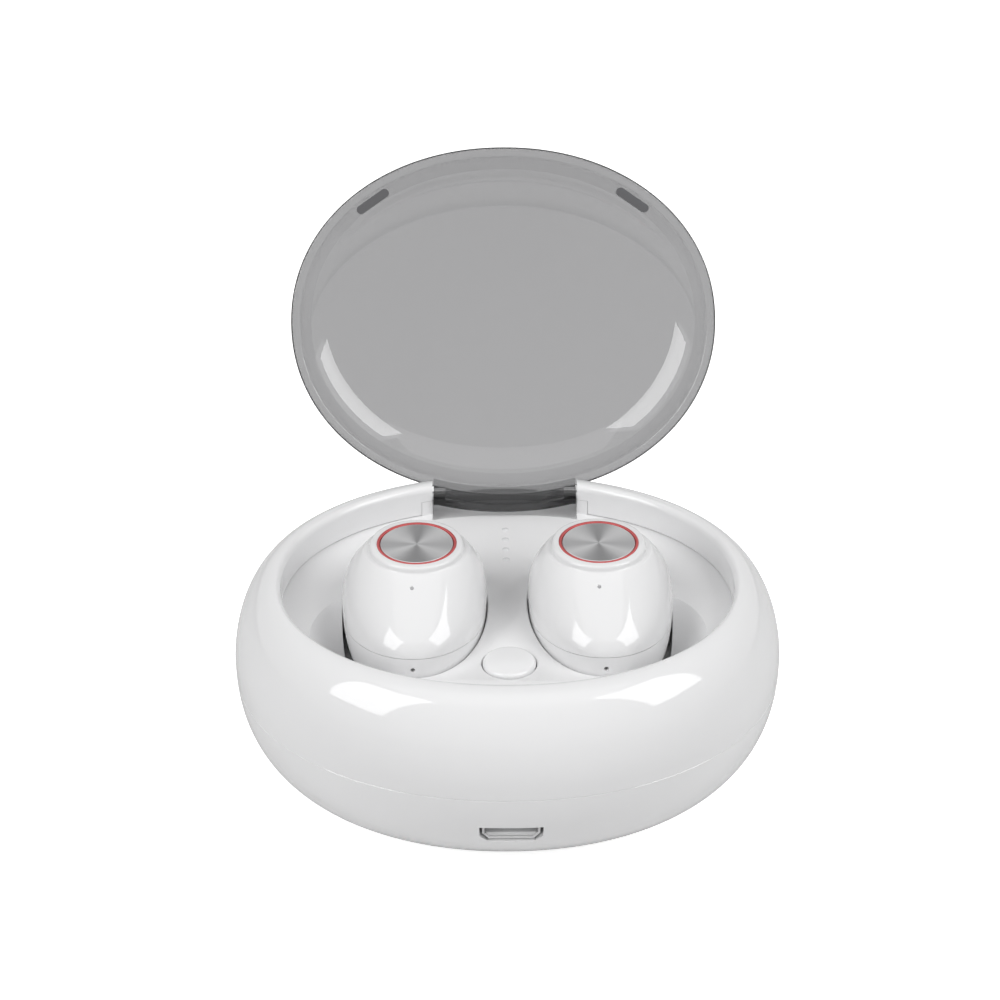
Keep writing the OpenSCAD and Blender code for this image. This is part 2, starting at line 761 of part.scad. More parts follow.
module contact_block(side) {
    color(black) difference() {
        translate([side * (cap_x + body_shift), -cap_y + contact_y, 0])
            block(2 * contact_x + 2.6, 2.8, contact_low, contact_high);
        for (place = [-1, 1]) {
            at_contact(side, place) {
                rod(contact_d + 0.6, contact_low + 1.2, contact_high - 0.8);
                rod(contact_d + 0.1, contact_low + 1, contact_high + 1);
            }
        }
    }
}

module contact_pin(side, place) {
    head_top = contact_high - 0.8 - fit;
    color(gold) at_contact(side, place) {
        rod(contact_d, head_top - 1, seat_h + seat_gap - contact_gap);
        rod(contact_d + 0.5, head_top - 2.2, head_top);
    }
}

// ---- lid ----

function dish(a, b, rise, turn) =
    level(lid_edge + rise * pow(sin(turn), 2 / lid_curve),
          a * pow(cos(turn), 2 / lid_curve), b * pow(cos(turn), 2 / lid_curve));

module opened() {
    translate([0, hinge_y, hinge_z]) rotate([-lid_open, 0, 0])
        translate([0, -hinge_y, -hinge_z]) children();
}

module lid_shell() {
    turns = [88, 76, 63, 50, 37, 24, 12, 0];
    in_a = lid_a - lid_wall;
    in_b = lid_b - lid_wall;
    inside = [for (t = turns) dish(in_a, in_b, lid_rise - lid_wall, t)];
    outside = [for (k = [len(turns) - 1:-1:0]) dish(lid_a, lid_b, lid_rise, turns[k])];
    lug_x = notch - notch_gap;
    color(smoke) opened() difference() {
        union() {
            difference() {
                skin(concat(inside, outside), shell_sides, oval_curve);
                // raised edge beside the hinge, which clears the rim as the lid turns
                translate([-notch - 1.9, lid_b - 4, lid_edge - 1]) cube([notch_w + 3.8, 8, 1 + edge_lift]);
            }
            slab(tongue_top - tongue_t, tongue_top) difference() {
                tongue_outline(lid_b - 4);
                oval(in_a + 0.1, in_b + 0.1);
            }
            slab(tongue_top - skirt_h, tongue_top - tongue_t / 2) difference() {
                tongue_outline(tongue_end - 3);
                oval(crest_a + tongue_end - crest_b - tongue_t, tongue_end - tongue_t);
            }
            for (side = [left, right]) {
                x0 = side > 0 ? lug_x - lug_w : -lug_x;
                hinge_bar(lug_d, x0, x0 + lug_w);
                translate([x0, lid_b - 1.1, hinge_z])
                    cube([lug_w, hinge_y + lug_d / 2 - lid_b + 1.1, tongue_top - tongue_t / 2 - hinge_z]);
            }
        }
        for (side = [left, right]) {
            hinge_bar(pin_d + fit, side > 0 ? pin_in - 0.05 : -lug_x - 1, side > 0 ? lug_x + 1 : -pin_in + 0.05);
        }
    }
}

// The tongue fills the notch up to an outline that runs on from the rim's crest
module tongue_outline(front) {
    intersection() {
        oval(crest_a + tongue_end - crest_b, tongue_end);
        translate([-notch + notch_gap, front]) square([notch_w - 2 * notch_gap, 8]);
    }
}

module lid_magnets() {
    color(black) opened() at_bar(-lid_wall - bar_w / 2 - 0.45)
        slab(lid_edge + 0.05, lid_edge + bar_h) {
            square([bar_l - bar_w, bar_w], center = true);
            for (x = [-1, 1]) translate([x * (bar_l - bar_w) / 2, 0]) circle(d = bar_w);
        }
}

module hinge_pins() {
    color(steel) opened() {
        hinge_bar(pin_d, pin_in, pin_out);
        hinge_bar(pin_d, -pin_out, -pin_in);
    }
}

// ---- earbuds ----

// Size of the body at depth z below the cap, from its top, widest and bottom values
function swell(z, mid, up, top_size, size, low_size, up_p, low_p) =
    z > -mid ? top_size + (size - top_size) * curve((z + mid) / up, up_p)
             : low_size + (size - low_size) * curve((-mid - z) / (bud_h - mid), low_p);

// Reach of the front: a roof that slopes down from the collar and rounds over into the nose
function roof(z) =
    let (a = collar_d / 2 + 0.15 + (-collar_h - z) / tan(roof_slope))
    a <= 0 ? 0 : a / pow(1 + pow(a / bud_front, roof_turn), 1 / roof_turn);

function bud_level(side, z, inset = 0) =
    let (depth = min(-z / bud_belly, 1), y = bud_centre_y * depth,
         front = z > -bud_nose ? roof(z) : swell(z, bud_nose, 1, 0, bud_front, flat_front, 2, 2.5),
         back = swell(z, bud_belly, bud_belly + 0.3, 2, bud_back, flat_back, 1.5, 2.6),
         half = swell(z, bud_belly, bud_belly + 0.2, 4.4, half_bud, flat_side, 2, 2.6))
    [z, half - inset, front + y - inset, max(back, collar_d / 2 + 0.15) - y - inset,
     side * body_shift * depth, y];

module in_bud(side) {
    translate([side * cap_x, -cap_y, cap_top]) children();
}

// Sets its children upright on the earbud's flat bottom, pointing along the nozzle
module at_nozzle(side) {
    translate([side * body_shift, -nozzle_y, -bud_h]) rotate([180 + -nozzle_tilt, 0, 0]) children();
}

// Sets its children on the parting plane, which drops from the nose to the back
module at_seam() {
    translate([0, -bud_front, -bud_seam]) rotate([-seam_tilt, 0, 0]) children();
}

module below_seam() {
    at_seam() translate([-20, -20, -20]) cube([40, 60, 20]);
}

module upper_housing(side) {
    ceiling = -recess_h - 0.9;
    collar = collar_d / 2;
    depths = [-bud_h + 3.2, -bud_h + 5, -10, -8.8, -7.8, -7, -6.2, -5.3, -4.2, -3, -2, -collar_h - 0.12];
    inside = [for (z = [ceiling, -3.2, -4.8, -6.2, -7.2, -8.5, -10, -bud_h + 5, -bud_h + 3.2])
        bud_level(side, z, bud_wall)];
    outside = [for (z = depths) bud_level(side, z)];
    rim = [for (q = [[-collar_h, 0.15], [-0.2, 0], [0, -0.2]])
        [q[0], collar + q[1], collar + q[1], collar + q[1], 0, 0]];
    color(white) in_bud(side) difference() {
        skin(concat(inside, outside, rim), bud_sides, 2.05);
        below_seam();
        rod(ring_d + 2 * fit, -recess_h, 1);
        rod(stem_d + 0.5, -recess_h - 2, 1);
        at_status_light(side) rod(0.5 + fit, -8, 1);
    }
}

module lower_housing(side) {
    floor_z = -bud_h + bud_wall;
    depths = [-bud_h, -bud_h + 0.25, -bud_h + 0.9, -bud_h + 1.9, -bud_h + 3.2, -bud_h + 5,
              -10, -8.8, -7.8, -6.6];
    outside = [for (z = depths) bud_level(side, z)];
    inside = [for (z = [-6.6, -7.8, -8.8, -10, -bud_h + 5, -bud_h + 3.2, -bud_h + 2, floor_z])
        bud_level(side, z, bud_wall)];
    color(white) in_bud(side) difference() {
        skin(concat(outside, inside), bud_sides, 2.05);
        at_seam() translate([-20, -20, 0]) cube([40, 60, 20]);
        at_nozzle(side) rod(nozzle_d + fit, -2.6, 3);
        at_pads(side) rod(pad_d + fit, -bud_h - 1, floor_z + 1);
        translate([side * body_shift, -bud_front + 3, -9.4]) rotate([90, 0, 0]) cylinder(d = 0.8, h = 6);
    }
}

module at_status_light(side) {
    translate([side * body_shift / 3 - 0.4, -light_reach, 0]) children();
}

module at_pads(side) {
    for (place = [-1, 1]) {
        translate([side * (body_shift + place * contact_x), contact_y, 0]) children();
    }
}

module cap_ring(side) {
    color([0.8, 0.25, 0.25]) in_bud(side) difference() {
        rod(ring_d, -recess_h, 0.05);
        rod(ring_d - 2 * ring_w, -recess_h - 1, 1);
    }
}

module cap(side) {
    cap_r = ring_d / 2 - ring_w - cap_gap;
    stem_low = -recess_h - 0.9 - 1.2;
    color(steel) in_bud(side) rotate_extrude() polygon([
        [0, stem_low], [stem_d / 2, stem_low], [stem_d / 2, -cap_t], [cap_r, -cap_t],
        [cap_r, -0.08], [cap_r - 0.1, 0], [0, -0.12]
    ]);
}

module cap_switch(side) {
    top = -recess_h - 0.9 - 1.2 - cap_travel - contact_gap;
    color(black) in_bud(side) {
        block(3.6, 3.6, -bud_board_top(), top - 0.3);
        rod(1.6, top - 0.3 - eps, top);
    }
}

function bud_board_top() = recess_h + 0.9 + 1.2 + cap_travel + contact_gap + 1.3;
function bud_battery_top() = bud_board_top() + small_board_t + small_gap;

module bud_board(side) {
    low = -bud_board_top() - small_board_t;
    color(board_green) in_bud(side) translate([side * body_shift / 2, 0, 0])
        rod(2 * (half_bud - bud_wall) - 2.4, low, -bud_board_top());
}

module bud_battery(side) {
    color([0.75, 0.77, 0.8]) in_bud(side) translate([side * body_shift, 0, 0])
        rod(bud_battery_d, -bud_battery_top() - bud_battery_t, -bud_battery_top());
}

module driver(side) {
    floor_z = -bud_h + bud_wall;
    color(black) in_bud(side) translate([side * body_shift, -nozzle_y, 0]) {
        rod(driver_d, floor_z + fit, floor_z + 0.7 * driver_t);
        rod(0.7 * driver_d, floor_z + 0.7 * driver_t - eps, floor_z + driver_t);
    }
}

module nozzle(side) {
    color(inside_white) in_bud(side) at_nozzle(side) difference() {
        union() {
            rod(nozzle_d, -0.2, nozzle_l);
            rod(bead_d, nozzle_l - bead_h, nozzle_l);
        }
        rod(nozzle_bore, -1, nozzle_l + 1);
    }
}

module nozzle_mesh(side) {
    color(steel) in_bud(side) at_nozzle(side) rod(nozzle_bore - fit, nozzle_l - 0.35, nozzle_l - 0.1);
}

module ear_tip(side) {
    r = tip_d / 2;
    core = nozzle_d / 2 + fit;
    groove = bead_d / 2 + fit;
    nose = tip_nose_d / 2;
    dome_h = tip_end - tip_skirt;
    color([0.8, 0.8, 0.82]) in_bud(side) at_nozzle(side) rotate_extrude() polygon([
        [core, tip_start], [core + 0.7, tip_start],
        [core + 0.7, tip_end - 1.6], [nose - 0.3, tip_end - 1.1],
        for (t = [75:-15:0]) [nose - 0.5 + (r - tip_wall - nose + 0.5) * cos(t),
                              tip_skirt + (dome_h - tip_wall) * sin(t)],
        for (t = [0:15:75]) [nose - 0.5 + (r - nose + 0.5) * cos(t), tip_skirt + dome_h * sin(t)],
        [nose - 0.9, tip_end], [nozzle_bore / 2 + 0.1, tip_end],
        [nozzle_bore / 2 + 0.1, nozzle_l + fit], [groove, nozzle_l + fit],
        [groove, nozzle_l - bead_h - fit], [core, nozzle_l - bead_h - fit]
    ]);
}

module bud_contacts(side) {
    color(gold) in_bud(side) at_pads(side) rod(pad_d, -bud_h, -bud_h + bud_wall + 0.2);
}

module bud_magnet(side) {
    low = -bud_h + bud_wall + fit;
    color(steel) in_bud(side) translate([side * body_shift, contact_y + 2.9, 0])
        rod(magnet_d, low, low + magnet_t);
}

module microphone(side) {
    color(gold) in_bud(side) translate([side * body_shift, -bud_front + bud_wall + 1.25, -9.4])
        cube([mic_w, 0.4 * mic_w, 0.7 * mic_w], center = true);
}

module status_light(side) {
    top = -collar_h - (light_reach - collar_d / 2 - 0.15) * tan(roof_slope) - 0.05;
    color([0.3, 0.3, 0.32]) in_bud(side) at_status_light(side) rod(0.5, top - 1.2, top);
}

bottom_shell();
upper_ring();
tray();
tray_screws();
case_button();
button_board();
button_switch();
charge_lights();
light_board();
light_chips();
small_board_screws();
main_board();
main_board_screws();
charge_controller();
case_battery();
usb_socket();
contact_block(left);  // contact_block_left
contact_block(right);  // contact_block_right
contact_pin(left, -1);  // contact_pin_left_inner
contact_pin(left, 1);  // contact_pin_left_outer
contact_pin(right, -1);  // contact_pin_right_inner
contact_pin(right, 1);  // contact_pin_right_outer
tray_magnets();
latch_magnets();
lid_shell();
lid_magnets();
hinge_pins();
upper_housing(left);  // left_upper_housing
lower_housing(left);  // left_lower_housing
cap_ring(left);  // left_cap_ring
cap(left);  // left_cap
cap_switch(left);  // left_cap_switch
bud_board(left);  // left_board
bud_battery(left);  // left_battery
driver(left);  // left_driver
nozzle(left);  // left_nozzle
nozzle_mesh(left);  // left_nozzle_mesh
ear_tip(left);  // left_ear_tip
bud_contacts(left);  // left_contacts
bud_magnet(left);  // left_magnet
microphone(left);  // left_microphone
status_light(left);  // left_status_light
upper_housing(right);  // right_upper_housing
lower_housing(right);  // right_lower_housing
cap_ring(right);  // right_cap_ring
cap(right);  // right_cap
cap_switch(right);  // right_cap_switch
bud_board(right);  // right_board
bud_battery(right);  // right_battery
driver(right);  // right_driver
nozzle(right);  // right_nozzle
nozzle_mesh(right);  // right_nozzle_mesh
ear_tip(right);  // right_ear_tip
bud_contacts(right);  // right_contacts
bud_magnet(right);  // right_magnet
microphone(right);  // right_microphone
status_light(right);  // right_status_light
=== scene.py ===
import json
import math
import bmesh
import bpy
from mathutils import Matrix, Vector


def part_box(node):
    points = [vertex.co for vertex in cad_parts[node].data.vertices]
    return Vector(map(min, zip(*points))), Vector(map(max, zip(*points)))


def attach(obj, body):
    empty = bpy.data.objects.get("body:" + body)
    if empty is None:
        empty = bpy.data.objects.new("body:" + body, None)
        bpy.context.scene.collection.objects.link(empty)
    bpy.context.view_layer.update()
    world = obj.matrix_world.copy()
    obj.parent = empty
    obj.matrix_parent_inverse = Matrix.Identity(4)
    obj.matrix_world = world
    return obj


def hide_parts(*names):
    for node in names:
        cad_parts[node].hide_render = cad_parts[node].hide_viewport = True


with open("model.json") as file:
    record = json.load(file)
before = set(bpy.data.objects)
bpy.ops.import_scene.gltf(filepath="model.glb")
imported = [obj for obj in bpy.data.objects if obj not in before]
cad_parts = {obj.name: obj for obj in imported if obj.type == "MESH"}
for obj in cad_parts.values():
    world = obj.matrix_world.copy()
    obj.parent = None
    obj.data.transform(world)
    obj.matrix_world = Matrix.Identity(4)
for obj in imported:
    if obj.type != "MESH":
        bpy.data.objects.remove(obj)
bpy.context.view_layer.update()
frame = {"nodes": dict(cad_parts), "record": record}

MM = 0.001
TAU = 2 * math.pi
SIDES = 240          # facets around the case
BUD_SIDES = 128      # facets around an earbud


# ---- measures, in millimetres

def steps(start, end, count):
    return [start + (end - start) * k / count for k in range(count + 1)]


def shift(x, y, z):
    """Matrix that moves by millimetres."""
    return Matrix.Translation((x * MM, y * MM, z * MM))


def corner(node, which):
    return [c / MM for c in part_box(node)[which]]


HALF_W = corner("upper_ring", 1)[0]
HALF_D = corner("upper_ring", 1)[1]
RIM_H = corner("upper_ring", 1)[2]
SPLIT_H = corner("upper_ring", 0)[2]
BELLY_H, BASE_A, BASE_B = 18.6, 17.1, 12.6
WALL, LOW_CURVE, TOP_CURVE, OVAL = 1.8, 2.36, 1.85, 2.08
OPEN_A, OPEN_B, LIP_SIDE, LIP_FRONT, LIP_DROP = 30.5, 25.0, 0.7, 1.0, 1.0
INNER_WALL, ROOF_H = 1.6, RIM_H - 3.4
CREST_A, CREST_B = OPEN_A + LIP_SIDE, OPEN_B + LIP_FRONT
DECK_H, DECK_T = RIM_H - 4.5, 1.6
DECK_LOW = DECK_H - DECK_T
SEAM = 0.05
FLANGE_A, FLANGE_B = OPEN_A + 2.2, OPEN_B + 2.2
CAP_X, CAP_Y, CAP_TOP = 12.1, -1.0, corner("left_cap_ring", 1)[2] - 0.05
BODY_SHIFT = 0.45
SEAT_H = CAP_TOP - 17.3
PORT_H = sum(corner("usb_socket", k)[2] for k in (0, 1)) / 2
PIN = [sum(corner("hinge_pins", k)[i] for k in (0, 1)) / 2 for i in (1, 2)]
LID_OPEN = math.radians(115)
NOTCH = 10.3
LID_EDGE, LID_RISE, LID_WALL, LID_CURVE = RIM_H - 0.8, 9.5, 1.3, 3.0
LID_A, LID_B = OPEN_A - 0.25, OPEN_B - 0.25
LID_START = 0.35      # turn in degrees at which the dish's side starts above its rounded edge
TONGUE_END, TONGUE_TOP = PIN[0] + 2.2, RIM_H + 0.05
BUTTON_PLACE = shift(0, -14.2, 0)
LIGHT_Y, LIGHT_PITCH = 11.4, 2.65
PIT_X, PIT_Y, PIT_A, PIT_B = 19, -7.6, 7.5, 10
CONTACT_X, CONTACT_Y = 2.4, 2.8
NOZZLE_Y, NOZZLE_TILT = -6.5, math.radians(18)
RECESS_H = PIN[1] - math.hypot(2.2, TONGUE_TOP - PIN[1]) - 0.35


# ---- meshes

def new_mesh_object(name, mesh, material=None):
    obj = bpy.data.objects.new(name, mesh)
    bpy.context.scene.collection.objects.link(obj)
    if material:
        mesh.materials.clear()
        mesh.materials.append(material)
    return obj


def from_bmesh(name, bm):
    mesh = bpy.data.meshes.new(name)
    bm.to_mesh(mesh)
    bm.free()
    return new_mesh_object(name, mesh)


def close_up(bm, distance=1e-6):
    bmesh.ops.remove_doubles(bm, verts=bm.verts, dist=distance)
    bmesh.ops.recalc_face_normals(bm, faces=bm.faces)


def wall(bm, low, high):
    """Faces between two rings of points, of which one may be a single point."""
    n = max(len(low), len(high))
    for i in range(n if n > 1 else 0):
        j = (i + 1) % n
        if len(low) == 1:
            bm.faces.new((low[0], high[j], high[i]))
        elif len(high) == 1:
            bm.faces.new((low[i], low[j], high[0]))
        else:
            bm.faces.new((low[i], low[j], high[j], high[i]))


def oval_point(a, front, back, turn, squareness):
    c, s = math.cos(turn), math.sin(turn)
    x = math.copysign(abs(c) ** (2 / squareness), c)
    y = math.copysign(abs(s) ** (2 / squareness), s)
    return a * x, (front if s < 0 else back) * y


def skin(name, levels, sides, squareness, looped=False):
    """Closed skin over levels of (height, half width, front, back, x, y), in millimetres."""
    bm = bmesh.new()
    rings = []
    for z, a, front, back, cx, cy in levels:
        ring = []
        for i in range(sides):
            x, y = oval_point(a, front, back, TAU * i / sides, squareness)
            ring.append(bm.verts.new(((x + cx) * MM, (y + cy) * MM, z * MM)))
        rings.append(ring)
    pairs = list(zip(rings, rings[1:]))
    if looped:
        pairs.append((rings[-1], rings[0]))
    for low, high in pairs:
        wall(bm, low, high)
    if not looped:
        for ring in (rings[0], rings[-1]):
            cx = sum(v.co.x for v in ring) / sides
            cy = sum(v.co.y for v in ring) / sides
            middle = bm.verts.new((cx, cy, ring[0].co.z))
            for i in range(sides):
                bm.faces.new((ring[i], ring[(i + 1) % sides], middle))
    close_up(bm)
    return from_bmesh(name, bm)


def prism(name, outline, low, high):
    """Straight solid over an outline of (x, y) points."""
    bm = bmesh.new()
    bottom = [bm.verts.new((x * MM, y * MM, low * MM)) for x, y in outline]
    top = [bm.verts.new((x * MM, y * MM, high * MM)) for x, y in outline]
    wall(bm, bottom, top)
    bm.faces.new(bottom[::-1])
    bm.faces.new(top)
    bmesh.ops.recalc_face_normals(bm, faces=bm.faces)
    return from_bmesh(name, bm)


def oval_outline(a, b, squareness=OVAL, sides=SIDES, cx=0.0, cy=0.0, back=None):
    points = [oval_point(a, b, back or b, TAU * i / sides, squareness) for i in range(sides)]
    return [(x + cx, y + cy) for x, y in points]


def lathe(name, profile, sides=128, place=None):
    """Turned solid from (radius, height) points, closed on the axis, moved by a matrix."""
    bm = bmesh.new()
    rings = []
    for r, z in profile:
        if r < 1e-6:
            rings.append([bm.verts.new((0, 0, z * MM))])
        else:
            rings.append([
                bm.verts.new((r * MM * math.cos(TAU * i / sides), r * MM * math.sin(TAU * i / sides), z * MM))
                for i in range(sides)])
    closed = profile[0][0] > 1e-6
    pairs = list(zip(rings, rings[1:])) + ([(rings[-1], rings[0])] if closed else [])
    for low, high in pairs:
        wall(bm, low, high)
    close_up(bm)
    if place is not None:
        bm.transform(place)
    return from_bmesh(name, bm)


def rod(name, d, low, high, x=0.0, y=0.0, sides=64):
    return prism(name, [(x + d / 2 * math.cos(TAU * i / sides), y + d / 2 * math.sin(TAU * i / sides))
                        for i in range(sides)], low, high)


def block(name, x0, x1, y0, y1, z0, z1):
    return prism(name, [(x0, y0), (x1, y0), (x1, y1), (x0, y1)], z0, z1)


def bar_along_x(name, d, x0, x1, sides=64):
    obj = rod(name, d, x0, x1, sides=sides)
    obj.data.transform(shift(0, *PIN) @ Matrix.Rotation(math.pi / 2, 4, "Y"))
    return obj


def combine(base, tools, operation):
    """Adds the tools to base or cuts them from it, and removes them."""
    for tool in tools:
        cut = base.modifiers.new("cut", "BOOLEAN")
        cut.operation = operation
        cut.solver = "EXACT"
        cut.object = tool
        apply_modifiers(base)
        drop(tool)
    return base


def apply_modifiers(obj):
    depsgraph = bpy.context.evaluated_depsgraph_get()
    mesh = bpy.data.meshes.new_from_object(obj.evaluated_get(depsgraph), depsgraph=depsgraph)
    obj.modifiers.clear()
    old = obj.data
    obj.data = mesh
    bpy.data.meshes.remove(old)


def drop(obj):
    mesh = obj.data
    bpy.data.objects.remove(obj)
    bpy.data.meshes.remove(mesh)


def joined(name, objects):
    """One object from several that don't overlap."""
    bm = bmesh.new()
    for obj in objects:
        bm.from_mesh(obj.data)
        drop(obj)
    return from_bmesh(name, bm)


def finish_piece(obj, body, material, replaces=(), sharp=32):
    """Smooth shading with sharp edges kept, then material and body, and hides the CAD nodes it replaces."""
    bm = bmesh.new()
    bm.from_mesh(obj.data)
    bmesh.ops.dissolve_degenerate(bm, edges=bm.edges, dist=1e-7)
    for face in bm.faces:
        face.smooth = True
    limit = math.radians(sharp)
    for edge in bm.edges:
        edge.smooth = len(edge.link_faces) == 2 and edge.calc_face_angle(0) < limit
    bm.to_mesh(obj.data)
    bm.free()
    obj.data.materials.clear()
    obj.data.materials.append(material)
    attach(obj, body)
    if replaces:
        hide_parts(*replaces)
    return obj


# ---- node helpers

def socket(node, name):
    return next(s for s in node.inputs if s.name == name and s.enabled)


class Wires:
    """Short calls for building a node tree."""

    def __init__(self, tree):
        self.tree = tree

    def add(self, kind, **settings):
        node = self.tree.nodes.new(kind)
        for key, value in settings.items():
            setattr(node, key, value)
        return node

    def link(self, source, target):
        self.tree.links.new(source, target)

    def feed(self, target, value):
        if isinstance(value, bpy.types.NodeSocket):
            self.link(value, target)
        else:
            target.default_value = value

    def math(self, operation, *values):
        node = self.add("ShaderNodeMath", operation=operation)
        for target, value in zip(node.inputs, values):
            self.feed(target, value)
        return node.outputs[0]

    def place(self):
        return self.add("ShaderNodeTexCoord").outputs["Object"]

    def position(self):
        """Splits the position of each point into its parts."""
        place = self.add("ShaderNodeSeparateXYZ")
        self.link(self.add("GeometryNodeInputPosition").outputs[0], place.inputs[0])
        return place.outputs

    def vector(self, *values):
        """Vector from numbers or sockets, with None for an untouched part."""
        whole = self.add("ShaderNodeCombineXYZ")
        for target, value in zip(whole.inputs, values):
            if value is not None:
                self.feed(target, value)
        return whole.outputs[0]

    def finish_inputs(self, result):
        """Adds the material input and the result, and gives the tree's values."""
        self.input("Material", "NodeSocketMaterial")
        self.input(result, "NodeSocketGeometry", owner="OUTPUT")
        return self.add("NodeGroupInput").outputs

    def finish(self, shape):
        """Makes the shape real, sets its material and ends the tree."""
        real = self.add("GeometryNodeRealizeInstances")
        self.link(shape, real.inputs[0])
        paint = self.add("GeometryNodeSetMaterial")
        self.link(real.outputs[0], paint.inputs["Geometry"])
        given = next(n for n in self.tree.nodes if n.type == "GROUP_INPUT")
        self.link(given.outputs["Material"], paint.inputs["Material"])
        self.link(paint.outputs[0], self.add("NodeGroupOutput").inputs[0])
        return self.tree

    def input(self, name, kind, value=None, owner="INPUT"):
        item = self.tree.interface.new_socket(name, in_out=owner, socket_type=kind)
        if value is not None:
            item.default_value = value
        return item


def run_tree(name, tree, values, material=None):
    """Makes one plain mesh object with a geometry tree and the given input values."""
    obj = new_mesh_object(name, bpy.data.meshes.new(name))
    nodes = obj.modifiers.new("shape", "NODES")
    nodes.node_group = tree
    for item in tree.interface.items_tree:
        if item.in_out == "INPUT" and item.name in values:
            nodes[item.identifier] = values[item.name]
        if item.in_out == "INPUT" and item.socket_type == "NodeSocketMaterial":
            nodes[item.identifier] = material
    apply_modifiers(obj)
    return obj


# ---- geometry trees

def oval_band_tree():
    """Band between two ovals whose section is a straight line or part of a superellipse."""
    w = Wires(bpy.data.node_groups.new("oval band", "GeometryNodeTree"))
    for name in ("Start width", "Start front", "Start back", "Start height",
                 "End width", "End front", "End back", "End height"):
        w.input(name, "NodeSocketFloat", 1.0)
    w.input("Section fullness", "NodeSocketFloat", 2.0)
    w.input("Squareness", "NodeSocketFloat", 2.0)
    w.input("From turn", "NodeSocketFloat", 0.0)
    w.input("To turn", "NodeSocketFloat", math.pi / 2)
    w.input("Sides", "NodeSocketInt", 64)
    w.input("Rings", "NodeSocketInt", 8)
    given = w.finish_inputs("Band")
    grid = w.add("GeometryNodeMeshGrid")
    w.link(w.math("ADD", given["Sides"], 1), socket(grid, "Vertices X"))
    w.link(given["Rings"], socket(grid, "Vertices Y"))
    place = w.position()
    turn = w.math("MULTIPLY", w.math("ADD", place["X"], 0.5), TAU)

    def power_of(value, exponent):
        return w.math("MULTIPLY", w.math("SIGN", value), w.math("POWER", w.math("ABSOLUTE", value), exponent))

    around = w.math("DIVIDE", 2.0, given["Squareness"])
    cosine = power_of(w.math("COSINE", turn), around)
    sine = power_of(w.math("SINE", turn), around)
    share = w.math("ADD", place["Y"], 0.5)
    section = w.math("MULTIPLY_ADD", share, w.math("SUBTRACT", given["To turn"], given["From turn"]),
                     given["From turn"])
    along = w.math("DIVIDE", 2.0, given["Section fullness"])
    wide = w.math("POWER", w.math("MAXIMUM", w.math("COSINE", section), 0.0), along)
    high = w.math("POWER", w.math("MAXIMUM", w.math("SINE", section), 0.0), along)

    def between(start, end, amount):
        return w.math("MULTIPLY_ADD", w.math("SUBTRACT", given[end], given[start]), amount, given[start])

    shrink = w.math("SUBTRACT", 1.0, wide)
    width = between("Start width", "End width", shrink)
    front = between("Start front", "End front", shrink)
    back = between("Start back", "End back", shrink)
    in_front = w.math("LESS_THAN", sine, 0.0)
    depth = w.math("MULTIPLY_ADD", w.math("SUBTRACT", front, back), in_front, back)
    point = w.vector(w.math("MULTIPLY", width, cosine), w.math("MULTIPLY", depth, sine),
                     between("Start height", "End height", high))
    move = w.add("GeometryNodeSetPosition")
    w.link(grid.outputs["Mesh"], move.inputs["Geometry"])
    w.link(point, move.inputs["Position"])
    weld = w.add("GeometryNodeMergeByDistance")
    w.link(move.outputs[0], weld.inputs["Geometry"])
    socket(weld, "Distance").default_value = 1e-6
    return w.finish(weld.outputs[0])


def row_tree():
    """Row of small domed windows."""
    w = Wires(bpy.data.node_groups.new("row of windows", "GeometryNodeTree"))
    w.input("Count", "NodeSocketInt", 4)
    w.input("Start", "NodeSocketVector")
    w.input("Step", "NodeSocketVector")
    w.input("Radius", "NodeSocketFloat", 1.0)
    w.input("Length", "NodeSocketFloat", 1.0)
    w.input("Dome", "NodeSocketFloat", 0.1)
    given = w.finish_inputs("Row")
    line = w.add("GeometryNodeMeshLine", mode="OFFSET")
    w.link(given["Count"], socket(line, "Count"))
    w.link(given["Start"], socket(line, "Start Location"))
    w.link(given["Step"], socket(line, "Offset"))
    pipe = w.add("GeometryNodeMeshCylinder")
    socket(pipe, "Vertices").default_value = 32
    socket(pipe, "Fill Segments").default_value = 5
    w.link(given["Radius"], socket(pipe, "Radius"))
    w.link(given["Length"], socket(pipe, "Depth"))
    # the top face rises towards its middle
    place = w.position()
    reach = w.math("ADD", w.math("POWER", place["X"], 2.0), w.math("POWER", place["Y"], 2.0))
    share = w.math("DIVIDE", reach, w.math("POWER", given["Radius"], 2.0))
    rise = w.math("MULTIPLY", w.math("MULTIPLY", w.math("SUBTRACT", 1.0, share), given["Dome"]),
                  w.math("GREATER_THAN", place["Z"], 0.0))
    dome = w.add("GeometryNodeSetPosition")
    w.link(pipe.outputs["Mesh"], dome.inputs["Geometry"])
    w.link(w.vector(None, None, rise), dome.inputs["Offset"])
    spread = w.add("GeometryNodeInstanceOnPoints")
    w.link(line.outputs[0], spread.inputs["Points"])
    w.link(dome.outputs[0], spread.inputs["Instance"])
    return w.finish(spread.outputs[0])


